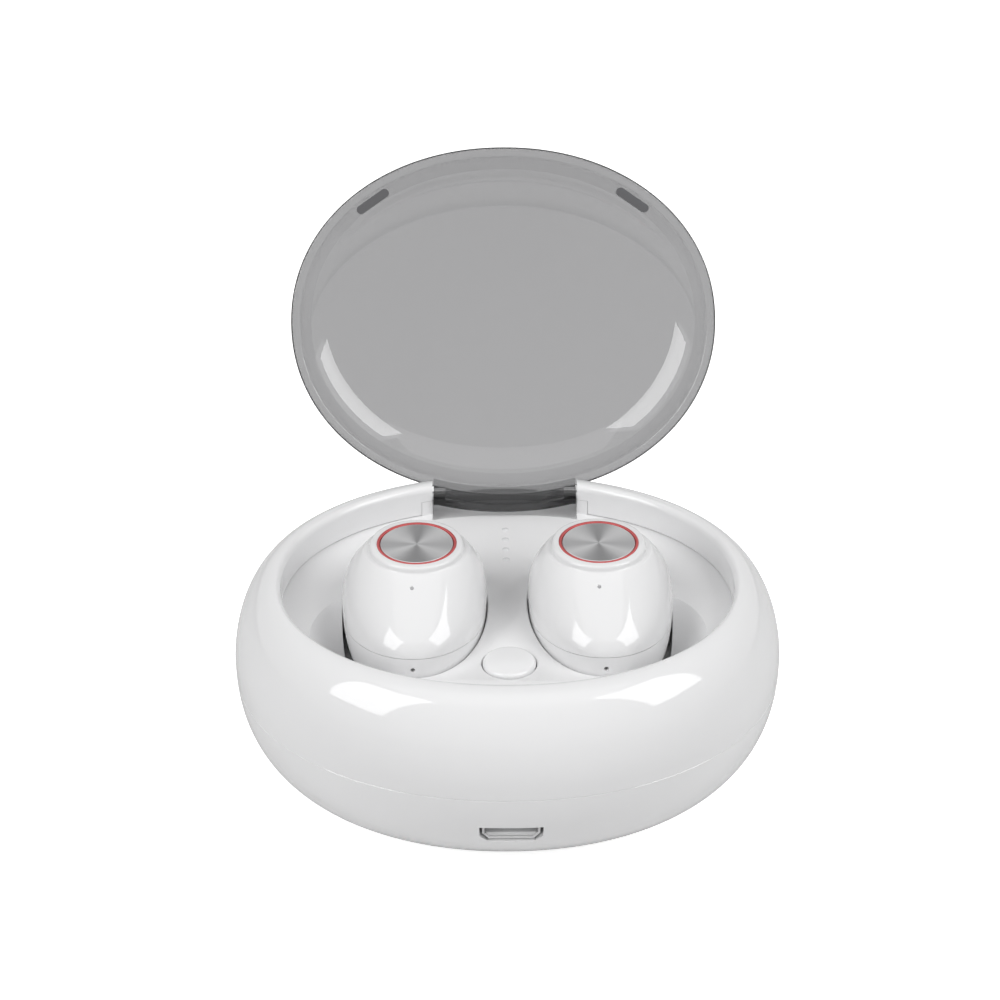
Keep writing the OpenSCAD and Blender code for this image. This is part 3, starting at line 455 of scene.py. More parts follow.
def wire_mesh_tree():
    """Round piece of wire mesh: two crossed rows of wires cut to the circle."""
    w = Wires(bpy.data.node_groups.new("wire mesh", "GeometryNodeTree"))
    w.input("Radius", "NodeSocketFloat", 1.0)
    w.input("Wires", "NodeSocketInt", 9)
    w.input("Thickness", "NodeSocketFloat", 0.1)
    given = w.finish_inputs("Mesh")
    count = given["Wires"]
    pitch = w.math("DIVIDE", w.math("MULTIPLY", given["Radius"], 2.0), w.math("ADD", count, 1))
    join = w.add("GeometryNodeJoinGeometry")
    for quarter, level in ((0.0, -0.25), (math.pi / 2, 0.25)):
        line = w.add("GeometryNodeMeshLine", mode="OFFSET")
        w.link(count, socket(line, "Count"))
        start = w.vector(w.math("SUBTRACT", pitch, given["Radius"]), None,
                         w.math("MULTIPLY", given["Thickness"], level))
        w.link(start, socket(line, "Start Location"))
        w.link(w.vector(pitch), socket(line, "Offset"))
        wire = w.add("GeometryNodeMeshCylinder")
        socket(wire, "Vertices").default_value = 8
        socket(wire, "Depth").default_value = 1.0
        w.link(w.math("MULTIPLY", given["Thickness"], 0.5), socket(wire, "Radius"))
        place = w.position()
        reach = w.math("SUBTRACT", w.math("POWER", given["Radius"], 2.0), w.math("POWER", place["X"], 2.0))
        size = w.vector(1.0, 1.0, w.math("MULTIPLY", w.math("SQRT", reach), 1.98))
        spread = w.add("GeometryNodeInstanceOnPoints")
        w.link(line.outputs[0], spread.inputs["Points"])
        w.link(wire.outputs["Mesh"], spread.inputs["Instance"])
        w.link(w.vector(math.pi / 2), spread.inputs["Rotation"])
        w.link(size, spread.inputs["Scale"])
        real = w.add("GeometryNodeRealizeInstances")
        w.link(spread.outputs[0], real.inputs[0])
        turn = w.add("GeometryNodeTransform")
        w.link(real.outputs[0], turn.inputs["Geometry"])
        turn.inputs["Rotation"].default_value = (0, 0, quarter)
        w.link(turn.outputs[0], join.inputs[0])
    return w.finish(join.outputs[0])


OVAL_BAND = oval_band_tree()


def band(start, end, fullness=1.0, turns=(0.0, 90.0), rings=2, squareness=OVAL, sides=SIDES):
    """Band from start to end, each (half width, front, back, height) in millimetres."""
    values = {"Section fullness": fullness, "Squareness": squareness, "Sides": sides, "Rings": rings,
              "From turn": math.radians(turns[0]), "To turn": math.radians(turns[1])}
    for word, level in (("Start", start), ("End", end)):
        for part, value in zip(("width", "front", "back", "height"), level):
            values[f"{word} {part}"] = value * MM
    return run_tree("band", OVAL_BAND, values)


def ring_level(a, b, z):
    return (a, b, b, z)


def closed_from(name, bands):
    """One closed solid from bands that meet edge to edge."""
    bm = bmesh.new()
    for obj in bands:
        bm.from_mesh(obj.data)
        drop(obj)
    close_up(bm, 2e-6)
    open_edges = [e for e in bm.edges if len(e.link_faces) != 2]
    if open_edges:
        raise ValueError(f"{name} has {len(open_edges)} open edges")
    return from_bmesh(name, bm)


# ---- materials

def micro_surface_group():
    """Shared unevenness of moulded, turned and rubber surfaces: fine grain and slow patches."""
    w = Wires(bpy.data.node_groups.new("micro surface", "ShaderNodeTree"))
    w.input("Grain scale", "NodeSocketFloat", 900.0)
    w.input("Patch scale", "NodeSocketFloat", 60.0)
    w.input("Grain", "NodeSocketFloat", owner="OUTPUT")
    w.input("Patches", "NodeSocketFloat", owner="OUTPUT")
    w.input("Scuffs", "NodeSocketFloat", owner="OUTPUT")
    given = w.add("NodeGroupInput").outputs
    out = w.add("NodeGroupOutput").inputs
    where = w.place()
    grain = w.add("ShaderNodeTexNoise")
    w.link(where, grain.inputs["Vector"])
    w.link(given["Grain scale"], grain.inputs["Scale"])
    grain.inputs["Detail"].default_value = 3.0
    w.link(grain.outputs[0], out["Grain"])
    patches = w.add("ShaderNodeTexNoise")
    w.link(where, patches.inputs["Vector"])
    w.link(given["Patch scale"], patches.inputs["Scale"])
    patches.inputs["Detail"].default_value = 2.0
    w.link(patches.outputs[0], out["Patches"])
    # a few hair-fine handling marks
    stretch = w.add("ShaderNodeMapping")
    stretch.inputs["Rotation"].default_value = (0.4, 0.2, 0.7)
    stretch.inputs["Scale"].default_value = (40.0, 900.0, 300.0)
    w.link(where, stretch.inputs["Vector"])
    marks = w.add("ShaderNodeTexNoise")
    w.link(stretch.outputs[0], marks.inputs["Vector"])
    marks.inputs["Scale"].default_value = 1.0
    marks.inputs["Detail"].default_value = 2.0
    thin = w.math("GREATER_THAN", marks.outputs[0], 0.69)
    w.link(w.math("MULTIPLY", thin, patches.outputs[0]), out["Scuffs"])
    return w.tree


MICRO = micro_surface_group()


def wires_of(material):
    """Wires of a material's tree and its shader."""
    w = Wires(material.node_tree)
    return w, next(n for n in w.tree.nodes if n.type == "BSDF_PRINCIPLED")


def plain_material(name, colour, roughness, metallic=0.0, grain_scale=900.0, patch_scale=60.0,
                   tint=0.02, rough_spread=0.05, bump=0.02, scuffs=0.0, **sockets):
    """Principled material whose colour, roughness and bump vary with the shared micro surface."""
    material = bpy.data.materials.new(name)
    material.use_nodes = True
    w, shader = wires_of(material)
    micro = w.add("ShaderNodeGroup", node_tree=MICRO)
    micro.inputs["Grain scale"].default_value = grain_scale
    micro.inputs["Patch scale"].default_value = patch_scale
    mix = w.add("ShaderNodeMix", data_type="RGBA")
    w.link(micro.outputs["Patches"], mix.inputs[0])
    mix.inputs[6].default_value = tuple(max(c * (1 - tint), 0) for c in colour) + (1,)
    mix.inputs[7].default_value = tuple(min(c * (1 + tint), 1) for c in colour) + (1,)
    w.link(mix.outputs[2], shader.inputs["Base Color"])
    spread = w.math("MULTIPLY_ADD", micro.outputs["Patches"], rough_spread, roughness - rough_spread / 2)
    if scuffs:
        spread = w.math("MULTIPLY_ADD", micro.outputs["Scuffs"], scuffs, spread)
    w.link(spread, shader.inputs["Roughness"])
    relief = w.add("ShaderNodeBump")
    relief.inputs["Strength"].default_value = bump
    relief.inputs["Distance"].default_value = 0.0001
    w.link(micro.outputs["Grain"], relief.inputs["Height"])
    w.link(relief.outputs[0], shader.inputs["Normal"])
    shader.inputs["Metallic"].default_value = metallic
    for key, value in sockets.items():
        shader.inputs[key.replace("_", " ")].default_value = value
    return material


def spun_material(name, centre_x, centre_y):
    """Turned metal: rings around the middle, and a painted sheen: soft pale and dark wedges in the base colour."""
    material = plain_material(name, (0.5, 0.5, 0.505), 0.32, metallic=1.0, bump=0.02, tint=0.01)
    w, shader = wires_of(material)
    shader.inputs["Anisotropic"].default_value = 0.75
    shift = w.add("ShaderNodeMapping")
    shift.inputs["Location"].default_value = (-centre_x, -centre_y, 0)
    w.link(w.place(), shift.inputs["Vector"])
    part = w.add("ShaderNodeSeparateXYZ")
    w.link(shift.outputs[0], part.inputs[0])
    turn = w.math("ARCTAN2", part.outputs["Y"], part.outputs["X"])
    # painted sheen: four pale and four dark wedges of base colour, uneven, in place of the reflections a
    # lathe-turned face throws
    wave = w.math("SINE", w.math("MULTIPLY_ADD", turn, 4.0, -math.pi / 2))
    drift = w.math("MULTIPLY", w.math("SINE", w.math("MULTIPLY_ADD", turn, 7.0, 0.6)), 0.25)
    painted_sheen = w.math("MULTIPLY_ADD", w.math("ADD", wave, drift), 0.5, 0.5)
    ramp = w.add("ShaderNodeMix", data_type="RGBA")
    ramp.clamp_factor = True
    w.link(painted_sheen, ramp.inputs[0])
    ramp.inputs[6].default_value = (0.5, 0.5, 0.505, 1)
    ramp.inputs[7].default_value = (0.72, 0.72, 0.725, 1)
    w.link(ramp.outputs[2], shader.inputs["Base Color"])
    flat = w.vector(part.outputs["X"], part.outputs["Y"])
    rings = w.add("ShaderNodeTexWave", wave_type="RINGS", rings_direction="SPHERICAL")
    w.link(flat, rings.inputs["Vector"])
    rings.inputs["Scale"].default_value = 2400.0
    rings.inputs["Distortion"].default_value = 0.4
    relief = next(n for n in w.tree.nodes if n.type == "BUMP")
    w.link(rings.outputs["Fac"], relief.inputs["Height"])
    tangent = w.add("ShaderNodeTangent", direction_type="RADIAL", axis="Z")
    w.link(tangent.outputs[0], shader.inputs["Tangent"])
    return material


def circuit_material(name):
    """Coated board with copper lines under the green."""
    material = plain_material(name, (0.02, 0.14, 0.07), 0.35, tint=0.1)
    w, shader = wires_of(material)
    where = w.place()
    lines = w.add("ShaderNodeTexBrick")
    w.link(where, lines.inputs["Vector"])
    lines.inputs["Scale"].default_value = 350.0
    lines.inputs["Mortar Size"].default_value = 0.06
    lines.inputs["Color1"].default_value = (0.02, 0.14, 0.07, 1)
    lines.inputs["Color2"].default_value = (0.015, 0.11, 0.06, 1)
    lines.inputs["Mortar"].default_value = (0.08, 0.26, 0.1, 1)
    w.link(lines.outputs["Color"], shader.inputs["Base Color"])
    return material


def brushed_metal(name, colour, roughness, scale=(60.0, 1500.0, 1500.0)):
    """Metal with drawn streaks along X."""
    material = plain_material(name, colour, roughness, metallic=1.0)
    w = wires_of(material)[0]
    relief = next(n for n in w.tree.nodes if n.type == "BUMP")
    stretch = w.add("ShaderNodeMapping")
    stretch.inputs["Scale"].default_value = scale
    w.link(w.place(), stretch.inputs["Vector"])
    streaks = w.add("ShaderNodeTexNoise")
    w.link(stretch.outputs[0], streaks.inputs["Vector"])
    streaks.inputs["Scale"].default_value = 1.0
    w.link(streaks.outputs[0], relief.inputs["Height"])
    relief.inputs["Strength"].default_value = 0.06
    return material


SHELL_WHITE = plain_material("glossy white shell", (0.79, 0.79, 0.795), 0.055, grain_scale=700, patch_scale=35,
                             tint=0.008, rough_spread=0.02, bump=0.01, scuffs=0.04, IOR=1.46)
TRAY_WHITE = plain_material("satin white tray", (0.78, 0.78, 0.785), 0.3, grain_scale=1600.0, patch_scale=50.0,
                            tint=0.012, rough_spread=0.08, bump=0.05, IOR=1.5)
BUD_WHITE = plain_material("polished white earbud", (0.79, 0.79, 0.795), 0.05, grain_scale=1100, patch_scale=90,
                           tint=0.008, rough_spread=0.02, bump=0.01, IOR=1.46)


def smoke_material(name, colour, share):
    """Smoky clear plastic. The share of light goes through, so its shadow is pale."""
    material = plain_material(name, colour, 0.03, grain_scale=500.0, patch_scale=25.0,
                              rough_spread=0.02, bump=0.01, IOR=1.02, Transmission_Weight=1.0,
                              Coat_Weight=1.0, Coat_IOR=1.5)
    w, shader = wires_of(material)
    shadow = w.add("ShaderNodeLightPath").outputs["Is Shadow Ray"]
    w.link(w.math("MULTIPLY_ADD", shadow, -share, 1.0), shader.inputs["Alpha"])
    return material


SMOKE = smoke_material("smoky clear lid", (0.255, 0.255, 0.258), 0.75)
# darker copy of the smoky lid for the tongue: painted shade for the shadowed notch seen through it, not thicker
# plastic
PAINTED_SHADE_SMOKE = smoke_material("smoky clear tongue with painted shade", (0.09, 0.09, 0.092), 0.6)
RED_RING = plain_material("red anodised ring", (0.62, 0.12, 0.12), 0.28, metallic=0.6, grain_scale=2500.0,
                          tint=0.05, bump=0.05)
SILICONE = plain_material("milky silicone", (0.72, 0.72, 0.73), 0.42, grain_scale=1800.0, tint=0.02,
                          rough_spread=0.1, bump=0.08, Subsurface_Weight=0.3)
WINDOW = plain_material("milky window", (0.7, 0.7, 0.71), 0.25, tint=0.02, bump=0.02)
BLACK = plain_material("black moulded plastic", (0.035, 0.035, 0.038), 0.4, grain_scale=1500, tint=0.1, bump=0.1)
DARK_MAGNET = plain_material("dark coated magnet", (0.1, 0.1, 0.105), 0.35, metallic=0.3, grain_scale=1500.0,
                             tint=0.08, bump=0.05)
DARK_LENS = plain_material("dark window", (0.42, 0.42, 0.43), 0.12, tint=0.05)
STEEL = brushed_metal("drawn steel", (0.55, 0.55, 0.56), 0.3)
NICKEL = brushed_metal("nickel plate", (0.66, 0.65, 0.63), 0.2)
GOLD = brushed_metal("gold plate", (0.75, 0.55, 0.24), 0.25)
FOIL = plain_material("battery foil", (0.6, 0.61, 0.63), 0.38, metallic=0.9, grain_scale=300, tint=0.04, bump=0.25)
CIRCUIT = circuit_material("coated circuit board")
SPUN = {side: spun_material(f"spun cap {side}", sign * CAP_X * MM, CAP_Y * MM)
        for side, sign in (("left", -1), ("right", 1))}


# ---- case shells

def outer(z, inset=0.0):
    """Half width and half depth of the bowl's outside at a height."""
    if z < BELLY_H:
        r = (1 - (1 - z / BELLY_H) ** LOW_CURVE) ** (1 / LOW_CURVE)
        return BASE_A + (HALF_W - BASE_A) * r - inset, BASE_B + (HALF_D - BASE_B) * r - inset
    r = max(0.0, 1 - ((z - BELLY_H) / (RIM_H - BELLY_H)) ** TOP_CURVE) ** (1 / TOP_CURVE)
    return CREST_A + (HALF_W - CREST_A) * r - inset, CREST_B + (HALF_D - CREST_B) * r - inset


def outer_level(z, inset=0.0):
    return ring_level(*outer(z, inset), z)


def low_turn(z):
    """Turn along the lower curve at which it has height z, in degrees."""
    return math.degrees(math.asin((1 - z / BELLY_H) ** (LOW_CURVE / 2)))


def straight(points):
    """Bands that join a run of levels with straight walls."""
    return [band(a, b) for a, b in zip(points, points[1:])]


def bottom_bowl():
    groove = 0.07
    top = SPLIT_H - groove
    belly, base = outer_level(BELLY_H), ring_level(BASE_A, BASE_B, 0)
    step = WALL / 2
    inner_belly = ring_level(HALF_W - WALL, HALF_D - WALL, BELLY_H)
    inner_base = ring_level(BASE_A, BASE_B, WALL)
    t = math.asin((1 - SPLIT_H / BELLY_H) ** (LOW_CURVE / 2))
    inner_h = BELLY_H - WALL
    inner_turn = math.degrees(t)
    z_in = BELLY_H - inner_h * math.sin(t) ** (2 / LOW_CURVE)
    c = math.cos(t) ** (2 / LOW_CURVE)
    inner_top = ring_level(BASE_A + (HALF_W - WALL - BASE_A) * c, BASE_B + (HALF_D - WALL - BASE_B) * c, z_in)
    parts = [
        band(ring_level(0, 0, 0), base, rings=10),
        band(belly, base, LOW_CURVE, (low_turn(top), 90), 48),
    ]
    parts += straight([
        outer_level(top), outer_level(SPLIT_H, groove), outer_level(SPLIT_H, step + 0.02),
        ring_level(*outer(SPLIT_H, step + 0.02), SPLIT_H + 1.2),
        ring_level(*outer(SPLIT_H, WALL), SPLIT_H + 1.2), inner_top])
    parts += [
        band(inner_belly, inner_base, LOW_CURVE, (inner_turn, 90), 32),
        band(inner_base, ring_level(0, 0, WALL), rings=6),
    ]
    bowl = closed_from("bottom_bowl", parts)
    w, h = 8.2, 2.9
    chamfer = h / 3
    slot = [(-w / 2, h / 2), (-w / 2, -h / 2 + chamfer), (-w / 2 + chamfer, -h / 2),
            (w / 2 - chamfer, -h / 2), (w / 2, -h / 2 + chamfer), (w / 2, h / 2)]
    cutter = prism("slot", slot, -HALF_D + 5.5, HALF_D + 3)
    cutter.data.transform(shift(0, 0, PORT_H) @ Matrix.Rotation(math.pi / 2, 4, "X"))
    keep = block("keep", -8, 8, -HALF_D - 4, -HALF_D + 6.5, PORT_H - 4, PORT_H + 4)
    combine(cutter, [keep], "INTERSECT")
    return combine(bowl, [cutter], "DIFFERENCE")


def rim_ring():
    groove = 0.07
    low = SPLIT_H + groove
    belly, crest = outer_level(BELLY_H), ring_level(CREST_A, CREST_B, RIM_H)
    lip_end = ring_level(OPEN_A, OPEN_B, RIM_H - LIP_DROP)
    inner_low = DECK_H + SEAM
    step = WALL / 2
    parts = [
        band(belly, ring_level(BASE_A, BASE_B, 0), LOW_CURVE, (0, low_turn(low)), 8),
        band(belly, crest, TOP_CURVE, (0, 90), 56),
        band(lip_end, crest, 2.0, (0, 90), 12),
    ]
    parts += straight([
        lip_end, ring_level(OPEN_A, OPEN_B, inner_low + 0.1), ring_level(OPEN_A + 0.1, OPEN_B + 0.1, inner_low),
        ring_level(OPEN_A + INNER_WALL, OPEN_B + INNER_WALL, inner_low),
        ring_level(OPEN_A + INNER_WALL, OPEN_B + INNER_WALL, ROOF_H),
        outer_level(ROOF_H, WALL), outer_level((ROOF_H + BELLY_H) / 2, WALL), outer_level(BELLY_H, WALL),
        ring_level(*outer(SPLIT_H + 1.25, WALL), SPLIT_H + 1.25),
        ring_level(*outer(SPLIT_H + 1.25, step), SPLIT_H + 1.25),
        ring_level(*outer(SPLIT_H, step), SPLIT_H), outer_level(SPLIT_H, groove), outer_level(low)])
    ring = closed_from("rim_ring", parts)
    cuts = [
        block("notch", -NOTCH, NOTCH, OPEN_B - 3, CREST_B + 0.4, RECESS_H, RIM_H + 20),
        block("sill", -NOTCH, NOTCH, CREST_B, CREST_B + 20, RIM_H - 4.55, RIM_H + 20),
        block("heel", -NOTCH - 2.3, NOTCH + 2.3, CREST_B + 0.1, CREST_B + 20, LID_EDGE - 1.35, RIM_H + 20),
    ]
    for side in (-1, 1):
        x0, x1 = sorted((side * (NOTCH - 1), side * (NOTCH + 1.55)))
        cuts.append(block("slot", x0, x1, OPEN_B - 4, PIN[0] + 1.4, DECK_LOW, PIN[1] - 0.15))
        cuts.append(bar_along_x("bearing", 1.5, x0, x1))
    return combine(ring, cuts, "DIFFERENCE")


finish_piece(bottom_bowl(), "case", SHELL_WHITE, ["bottom_shell"])
finish_piece(rim_ring(), "case", SHELL_WHITE, ["upper_ring"])


# ---- tray

def pocket(side, grow):
    return oval_outline(9.75 + grow, 17.7 + grow, 2.1, cx=side * (CAP_X + BODY_SHIFT), cy=CAP_Y + 1.5,
                        back=9.5 + grow)


def pocket_cutter(side):
    """Pocket with a rounded edge at the deck."""
    x, y = side * (CAP_X + BODY_SHIFT), CAP_Y + 1.5
    soft, a, front, back = 0.3, 9.85, 17.8, 9.6
    levels = [(SEAT_H, a, front, back, x, y), (DECK_H - soft, a, front, back, x, y)]
    for k in range(1, 7):
        t = k * math.pi / 12
        out = soft * (1 - math.cos(t))
        levels.append((DECK_H - soft + soft * math.sin(t), a + out, front + out, back + out, x, y))
    levels.append((DECK_H + 1, a + soft, front + soft, back + soft, x, y))
    return skin("pocket", levels, 180, 2.1)


def scoop_cutter(side):
    """Finger pit, hollowed like a spoon beside the pocket."""
    x, y, a, b, depth = side * PIT_X, PIT_Y, PIT_A, PIT_B, 6.1
    levels = []
    for k in range(1, 25):
        r = math.sin(k * math.pi / 50)
        levels.append((DECK_H - depth * (1 - r * r) ** 1.12, a * r, b * r, b * r, x, y))
    levels.append((DECK_H + 0.03, a, b, b, x, y))
    levels.append((DECK_H + 1, a, b, b, x, y))
    return skin("scoop", levels, 120, 2.1)


def tray_piece():
    recess_w, recess_y = 2 * NOTCH + 1.6, OPEN_B - 4
    back_a, back_b = (v - WALL - 0.35 for v in outer(RECESS_H))
    deck = prism("tray_deck", oval_outline(FLANGE_A, FLANGE_B), DECK_LOW, DECK_H)
    floor_piece = prism("recess", oval_outline(back_a, back_b), RECESS_H - 1.4, RECESS_H)
    combine(floor_piece, [block("keep", -recess_w / 2, recess_w / 2, recess_y, 60, 0, 60)], "INTERSECT")
    added = [floor_piece]
    back_edge = [(x, (OPEN_B - 1.6) * (1 - abs(x / (OPEN_A - 1.6)) ** OVAL) ** (1 / OVAL))
                 for x in steps(-NOTCH, NOTCH, 40)]
    cuts = [prism("recess cut", back_edge + [(NOTCH, 34), (-NOTCH, 34)], RECESS_H, RECESS_H + 10)]
    for side in (-1, 1):
        added.append(prism("well", pocket(side, 1.3), SEAT_H - 1.4, DECK_LOW + 0.3))
        pit = oval_outline(PIT_A, PIT_B, 2.1, cx=side * PIT_X, cy=PIT_Y)
        added.append(prism("pit", pit, DECK_H - 6.9, DECK_LOW + 0.3))
        cup = (side * (CAP_X + BODY_SHIFT), -8.3)
        added.append(prism("cup", oval_outline(7.5, 7.2, 2, 96, *cup), SEAT_H - 8.6, SEAT_H - 1.0))
        x0, x1 = sorted((side * NOTCH, side * (NOTCH + 1.5)))
        tab = block("tab", x0, x1, OPEN_B - 4, PIN[0] + 1.35, DECK_LOW, PIN[1] - 0.2)
        combine(tab, [prism("inner", oval_outline(OPEN_A, OPEN_B), 0, 60)], "DIFFERENCE")
        added.append(tab)
        cuts += [pocket_cutter(side), scoop_cutter(side)]
        cuts.append(prism("cup hole", oval_outline(6.5, 6.2, 2, 96, *cup), SEAT_H - 7.6, SEAT_H + 1))
        cuts.append(bar_along_x("bearing", 1.5, *sorted((side * (NOTCH - 1), side * (NOTCH + 2.6)))))
        for place in (-1, 1):
            cuts.append(rod("contact hole", 1.3, SEAT_H - 3, SEAT_H + 1,
                            side * (CAP_X + BODY_SHIFT) + place * CONTACT_X, CAP_Y + CONTACT_Y, 24))
    # soft edge around the button and the lights
    ring = [(0, DECK_LOW - 1), (3.62, DECK_LOW - 1), (3.62, DECK_H - 0.2), (3.68, DECK_H - 0.08),
            (3.82, DECK_H), (3.82, DECK_H + 1), (0, DECK_H + 1)]
    cuts.append(lathe("button hole", ring, 96, BUTTON_PLACE))
    for k in range(4):
        cuts.append(rod("light hole", 1.02, DECK_LOW - 1, DECK_H + 1, 0, LIGHT_Y + LIGHT_PITCH * k, 32))
    combine(deck, added, "UNION")
    return combine(deck, cuts, "DIFFERENCE")


finish_piece(tray_piece(), "case", TRAY_WHITE, ["tray"])

lights = run_tree("charge_windows", row_tree(), {
    "Count": 4, "Start": (0, LIGHT_Y * MM, (DECK_H - 1.0) * MM), "Step": (0, LIGHT_PITCH * MM, 0),
    "Radius": 0.5 * MM, "Length": 2.0 * MM, "Dome": 0.12 * MM}, WINDOW)
finish_piece(lights, "case", WINDOW, ["charge_lights"])

# pale tongue inside the charging socket
SOCKET = [corner("usb_socket", k) for k in (0, 1)]
tongue = block("socket_tongue", -3.2, 3.2, SOCKET[0][1] + 0.15, SOCKET[1][1] - 0.6, PORT_H - 0.95, PORT_H - 0.4)
finish_piece(tongue, "case", TRAY_WHITE)


# ---- button

def dome_button():
    top, r = corner("case_button", 1)[2], 3.5
    low = corner("case_button", 0)[2]
    profile = [(0, low), (1.2, low), (1.2, DECK_LOW - 1.2), (3.97, DECK_LOW - 1.2), (3.97, DECK_LOW - 0.1),
               (r, DECK_LOW - 0.1), (r, top - 0.75)]
    profile += [(r - 0.55 * (1 - math.cos(t)), top - 0.75 + 0.55 * math.sin(t))
                for t in (math.radians(10 * k) for k in range(1, 9))]
    profile += [(x, top - 0.2 * (x / 2.95) ** 2) for x in (2.6, 2.2, 1.8, 1.4, 1.0, 0.6, 0.3)] + [(0, top)]
    return lathe("dome_button", profile, 128, BUTTON_PLACE)


finish_piece(dome_button(), "case_button", SHELL_WHITE, ["case_button"])


# ---- lid

OPENING = shift(0, *PIN) @ Matrix.Rotation(-LID_OPEN, 4, "X") @ shift(0, -PIN[0], -PIN[1])


def tongue_outline(front, half=NOTCH - 0.15, reach=0.0):
    a, b = CREST_A + TONGUE_END - CREST_B - reach, TONGUE_END - reach
    arc = [(x, b * (1 - abs(x / a) ** OVAL) ** (1 / OVAL)) for x in steps(-half, half, 40)]
    return [(-half, front), (half, front)] + arc[::-1]


def lid_dish():
    e, soft = LID_EDGE, 0.3
    in_a, in_b, in_rise = LID_A - LID_WALL, LID_B - LID_WALL, LID_RISE - LID_WALL
    shell = closed_from("lid_dish", [
        band(ring_level(LID_A, LID_B, e), ring_level(0, 0, e + LID_RISE), LID_CURVE, (LID_START, 90), 56),
        band(ring_level(in_a, in_b, e), ring_level(0, 0, e + in_rise), LID_CURVE, (LID_START, 90), 56),
    ] + lid_edge_bands(e, soft))
    lug_x, lug_w = NOTCH - 0.15, 1.7
    raised = block("raised edge", -NOTCH - 1.9, NOTCH + 1.9, LID_B - 4, LID_B + 4, LID_EDGE - 1, LID_EDGE + 0.65)
    combine(shell, [raised], "DIFFERENCE")
    plate = prism("tongue", tongue_outline(LID_B - 4), TONGUE_TOP - 1, TONGUE_TOP)
    combine(plate, [prism("inside", oval_outline(in_a + 0.1, in_b + 0.1), 0, 60)], "DIFFERENCE")
    skirt = prism("skirt", tongue_outline(TONGUE_END - 3), TONGUE_TOP - 3.3, TONGUE_TOP - 0.5)
    combine(skirt, [prism("inside", tongue_outline(TONGUE_END - 9, NOTCH + 1, 1.0), 0, 60)], "DIFFERENCE")
    parts = [plate, skirt]
    for side in (-1, 1):
        x0, x1 = sorted((side * lug_x, side * (lug_x - lug_w)))
        parts.append(bar_along_x("lug", 2.6, x0, x1))
        parts.append(block("web", x0, x1, LID_B - 1.1, PIN[0] + 1.3, PIN[1], TONGUE_TOP - 0.5))
    combine(shell, parts, "UNION")
    holes = [bar_along_x("pin hole", 1.42, *sorted((side * (lug_x + 1), side * (NOTCH - 1.8))))
             for side in (-1, 1)]
    combine(shell, holes, "DIFFERENCE")
    shell.data.transform(OPENING)
    return shell


def lid_edge_bands(e, soft):
    """Rounded lower edge between the dish's outside and inside."""
    def at(a, b, rise):
        t = math.radians(LID_START)
        return ring_level(a * math.cos(t) ** (2 / LID_CURVE), b * math.cos(t) ** (2 / LID_CURVE),
                          e + rise * math.sin(t) ** (2 / LID_CURVE))
    outside = at(LID_A, LID_B, LID_RISE)
    inside = at(LID_A - LID_WALL, LID_B - LID_WALL, LID_RISE - LID_WALL)
    return [
        band(outside, ring_level(LID_A - soft, LID_B - soft, e), 2.0, (0, 90), 6),
        band(ring_level(LID_A - soft, LID_B - soft, e),
             ring_level(LID_A - LID_WALL + soft, LID_B - LID_WALL + soft, e)),
        band(inside, ring_level(LID_A - LID_WALL + soft, LID_B - LID_WALL + soft, e), 2.0, (0, 90), 6),
    ]


def magnet_bars():
    """Two bars with round ends near the front of the lid."""
    bars = []
    for side in (-1, 1):
        turn = math.radians(-50)
        x, y = oval_point(LID_A, LID_B, LID_B, turn, OVAL)
        normal = math.atan2(y / LID_B ** 2, x / LID_A ** 2)
        inward = LID_WALL + 0.6 + 0.45
        half, r = 2.05, 0.6
        ends = [(half + r * math.cos(math.radians(a)), r * math.sin(math.radians(a)))
                for a in range(-90, 91, 15)]
        outline = ends + [(-x, -y) for x, y in ends]
        bar = prism("bar", outline, LID_EDGE + 0.05, LID_EDGE + 2.0)
        bar.data.transform(shift(x - inward * math.cos(normal), y - inward * math.sin(normal), 0)
                           @ Matrix.Rotation(normal + math.pi / 2, 4, "Z"))
        if side < 0:
            bar.data.transform(Matrix.Scale(-1, 4, (1, 0, 0)))
            bar.data.flip_normals()
        bars.append(bar)
    piece = joined("magnet_bars", bars)
    piece.data.transform(OPENING)
    return piece


lid = finish_piece(lid_dish(), "lid", SMOKE, ["lid_shell"], sharp=28)
# the tongue's faces take the darker smoky copy: painted shade
lid.data.materials.append(PAINTED_SHADE_SMOKE)
CLOSING = OPENING.inverted()
for face in lid.data.polygons:
    place = CLOSING @ face.center / MM
    if abs(place.x) < NOTCH and place.y > LID_B - 0.6 and place.z < TONGUE_TOP + 0.01:
        face.material_index = 1
finish_piece(magnet_bars(), "lid", DARK_MAGNET, ["lid_magnets"])


# ---- earbuds

BUD_W, BUD_FRONT, BUD_BACK, BUD_H = 9.75, 16.2, 11.0, 17.2
BUD_BELLY, BUD_NOSE, BUD_WALL = 9.0, 11.7, 1.1
COLLAR_R, COLLAR_H, RECESS = 6.3, 0.85, 1.2
ROOF_SLOPE, ROOF_TURN = math.tan(math.radians(30)), 12
SEAM_GAP = 0.035
SEAM_PLACE = shift(0, -BUD_FRONT, -7.8) @ Matrix.Rotation(math.radians(-11), 4, "X")


def quarter(u, p=2.0):
    return (1 - min(max(u, 0), 1) ** p) ** (1 / p)


def swell(z, mid, up, top_size, size, low_size, up_p, low_p):
    if z > -mid:
        return top_size + (size - top_size) * quarter((z + mid) / up, up_p)
    return low_size + (size - low_size) * quarter((-mid - z) / (BUD_H - mid), low_p)


def roof(z):
    """Reach of the front: a slope from the collar that rounds over into the nose."""
    a = COLLAR_R + (-COLLAR_H - z) / ROOF_SLOPE
    return a / (1 + (a / BUD_FRONT) ** ROOF_TURN) ** (1 / ROOF_TURN)


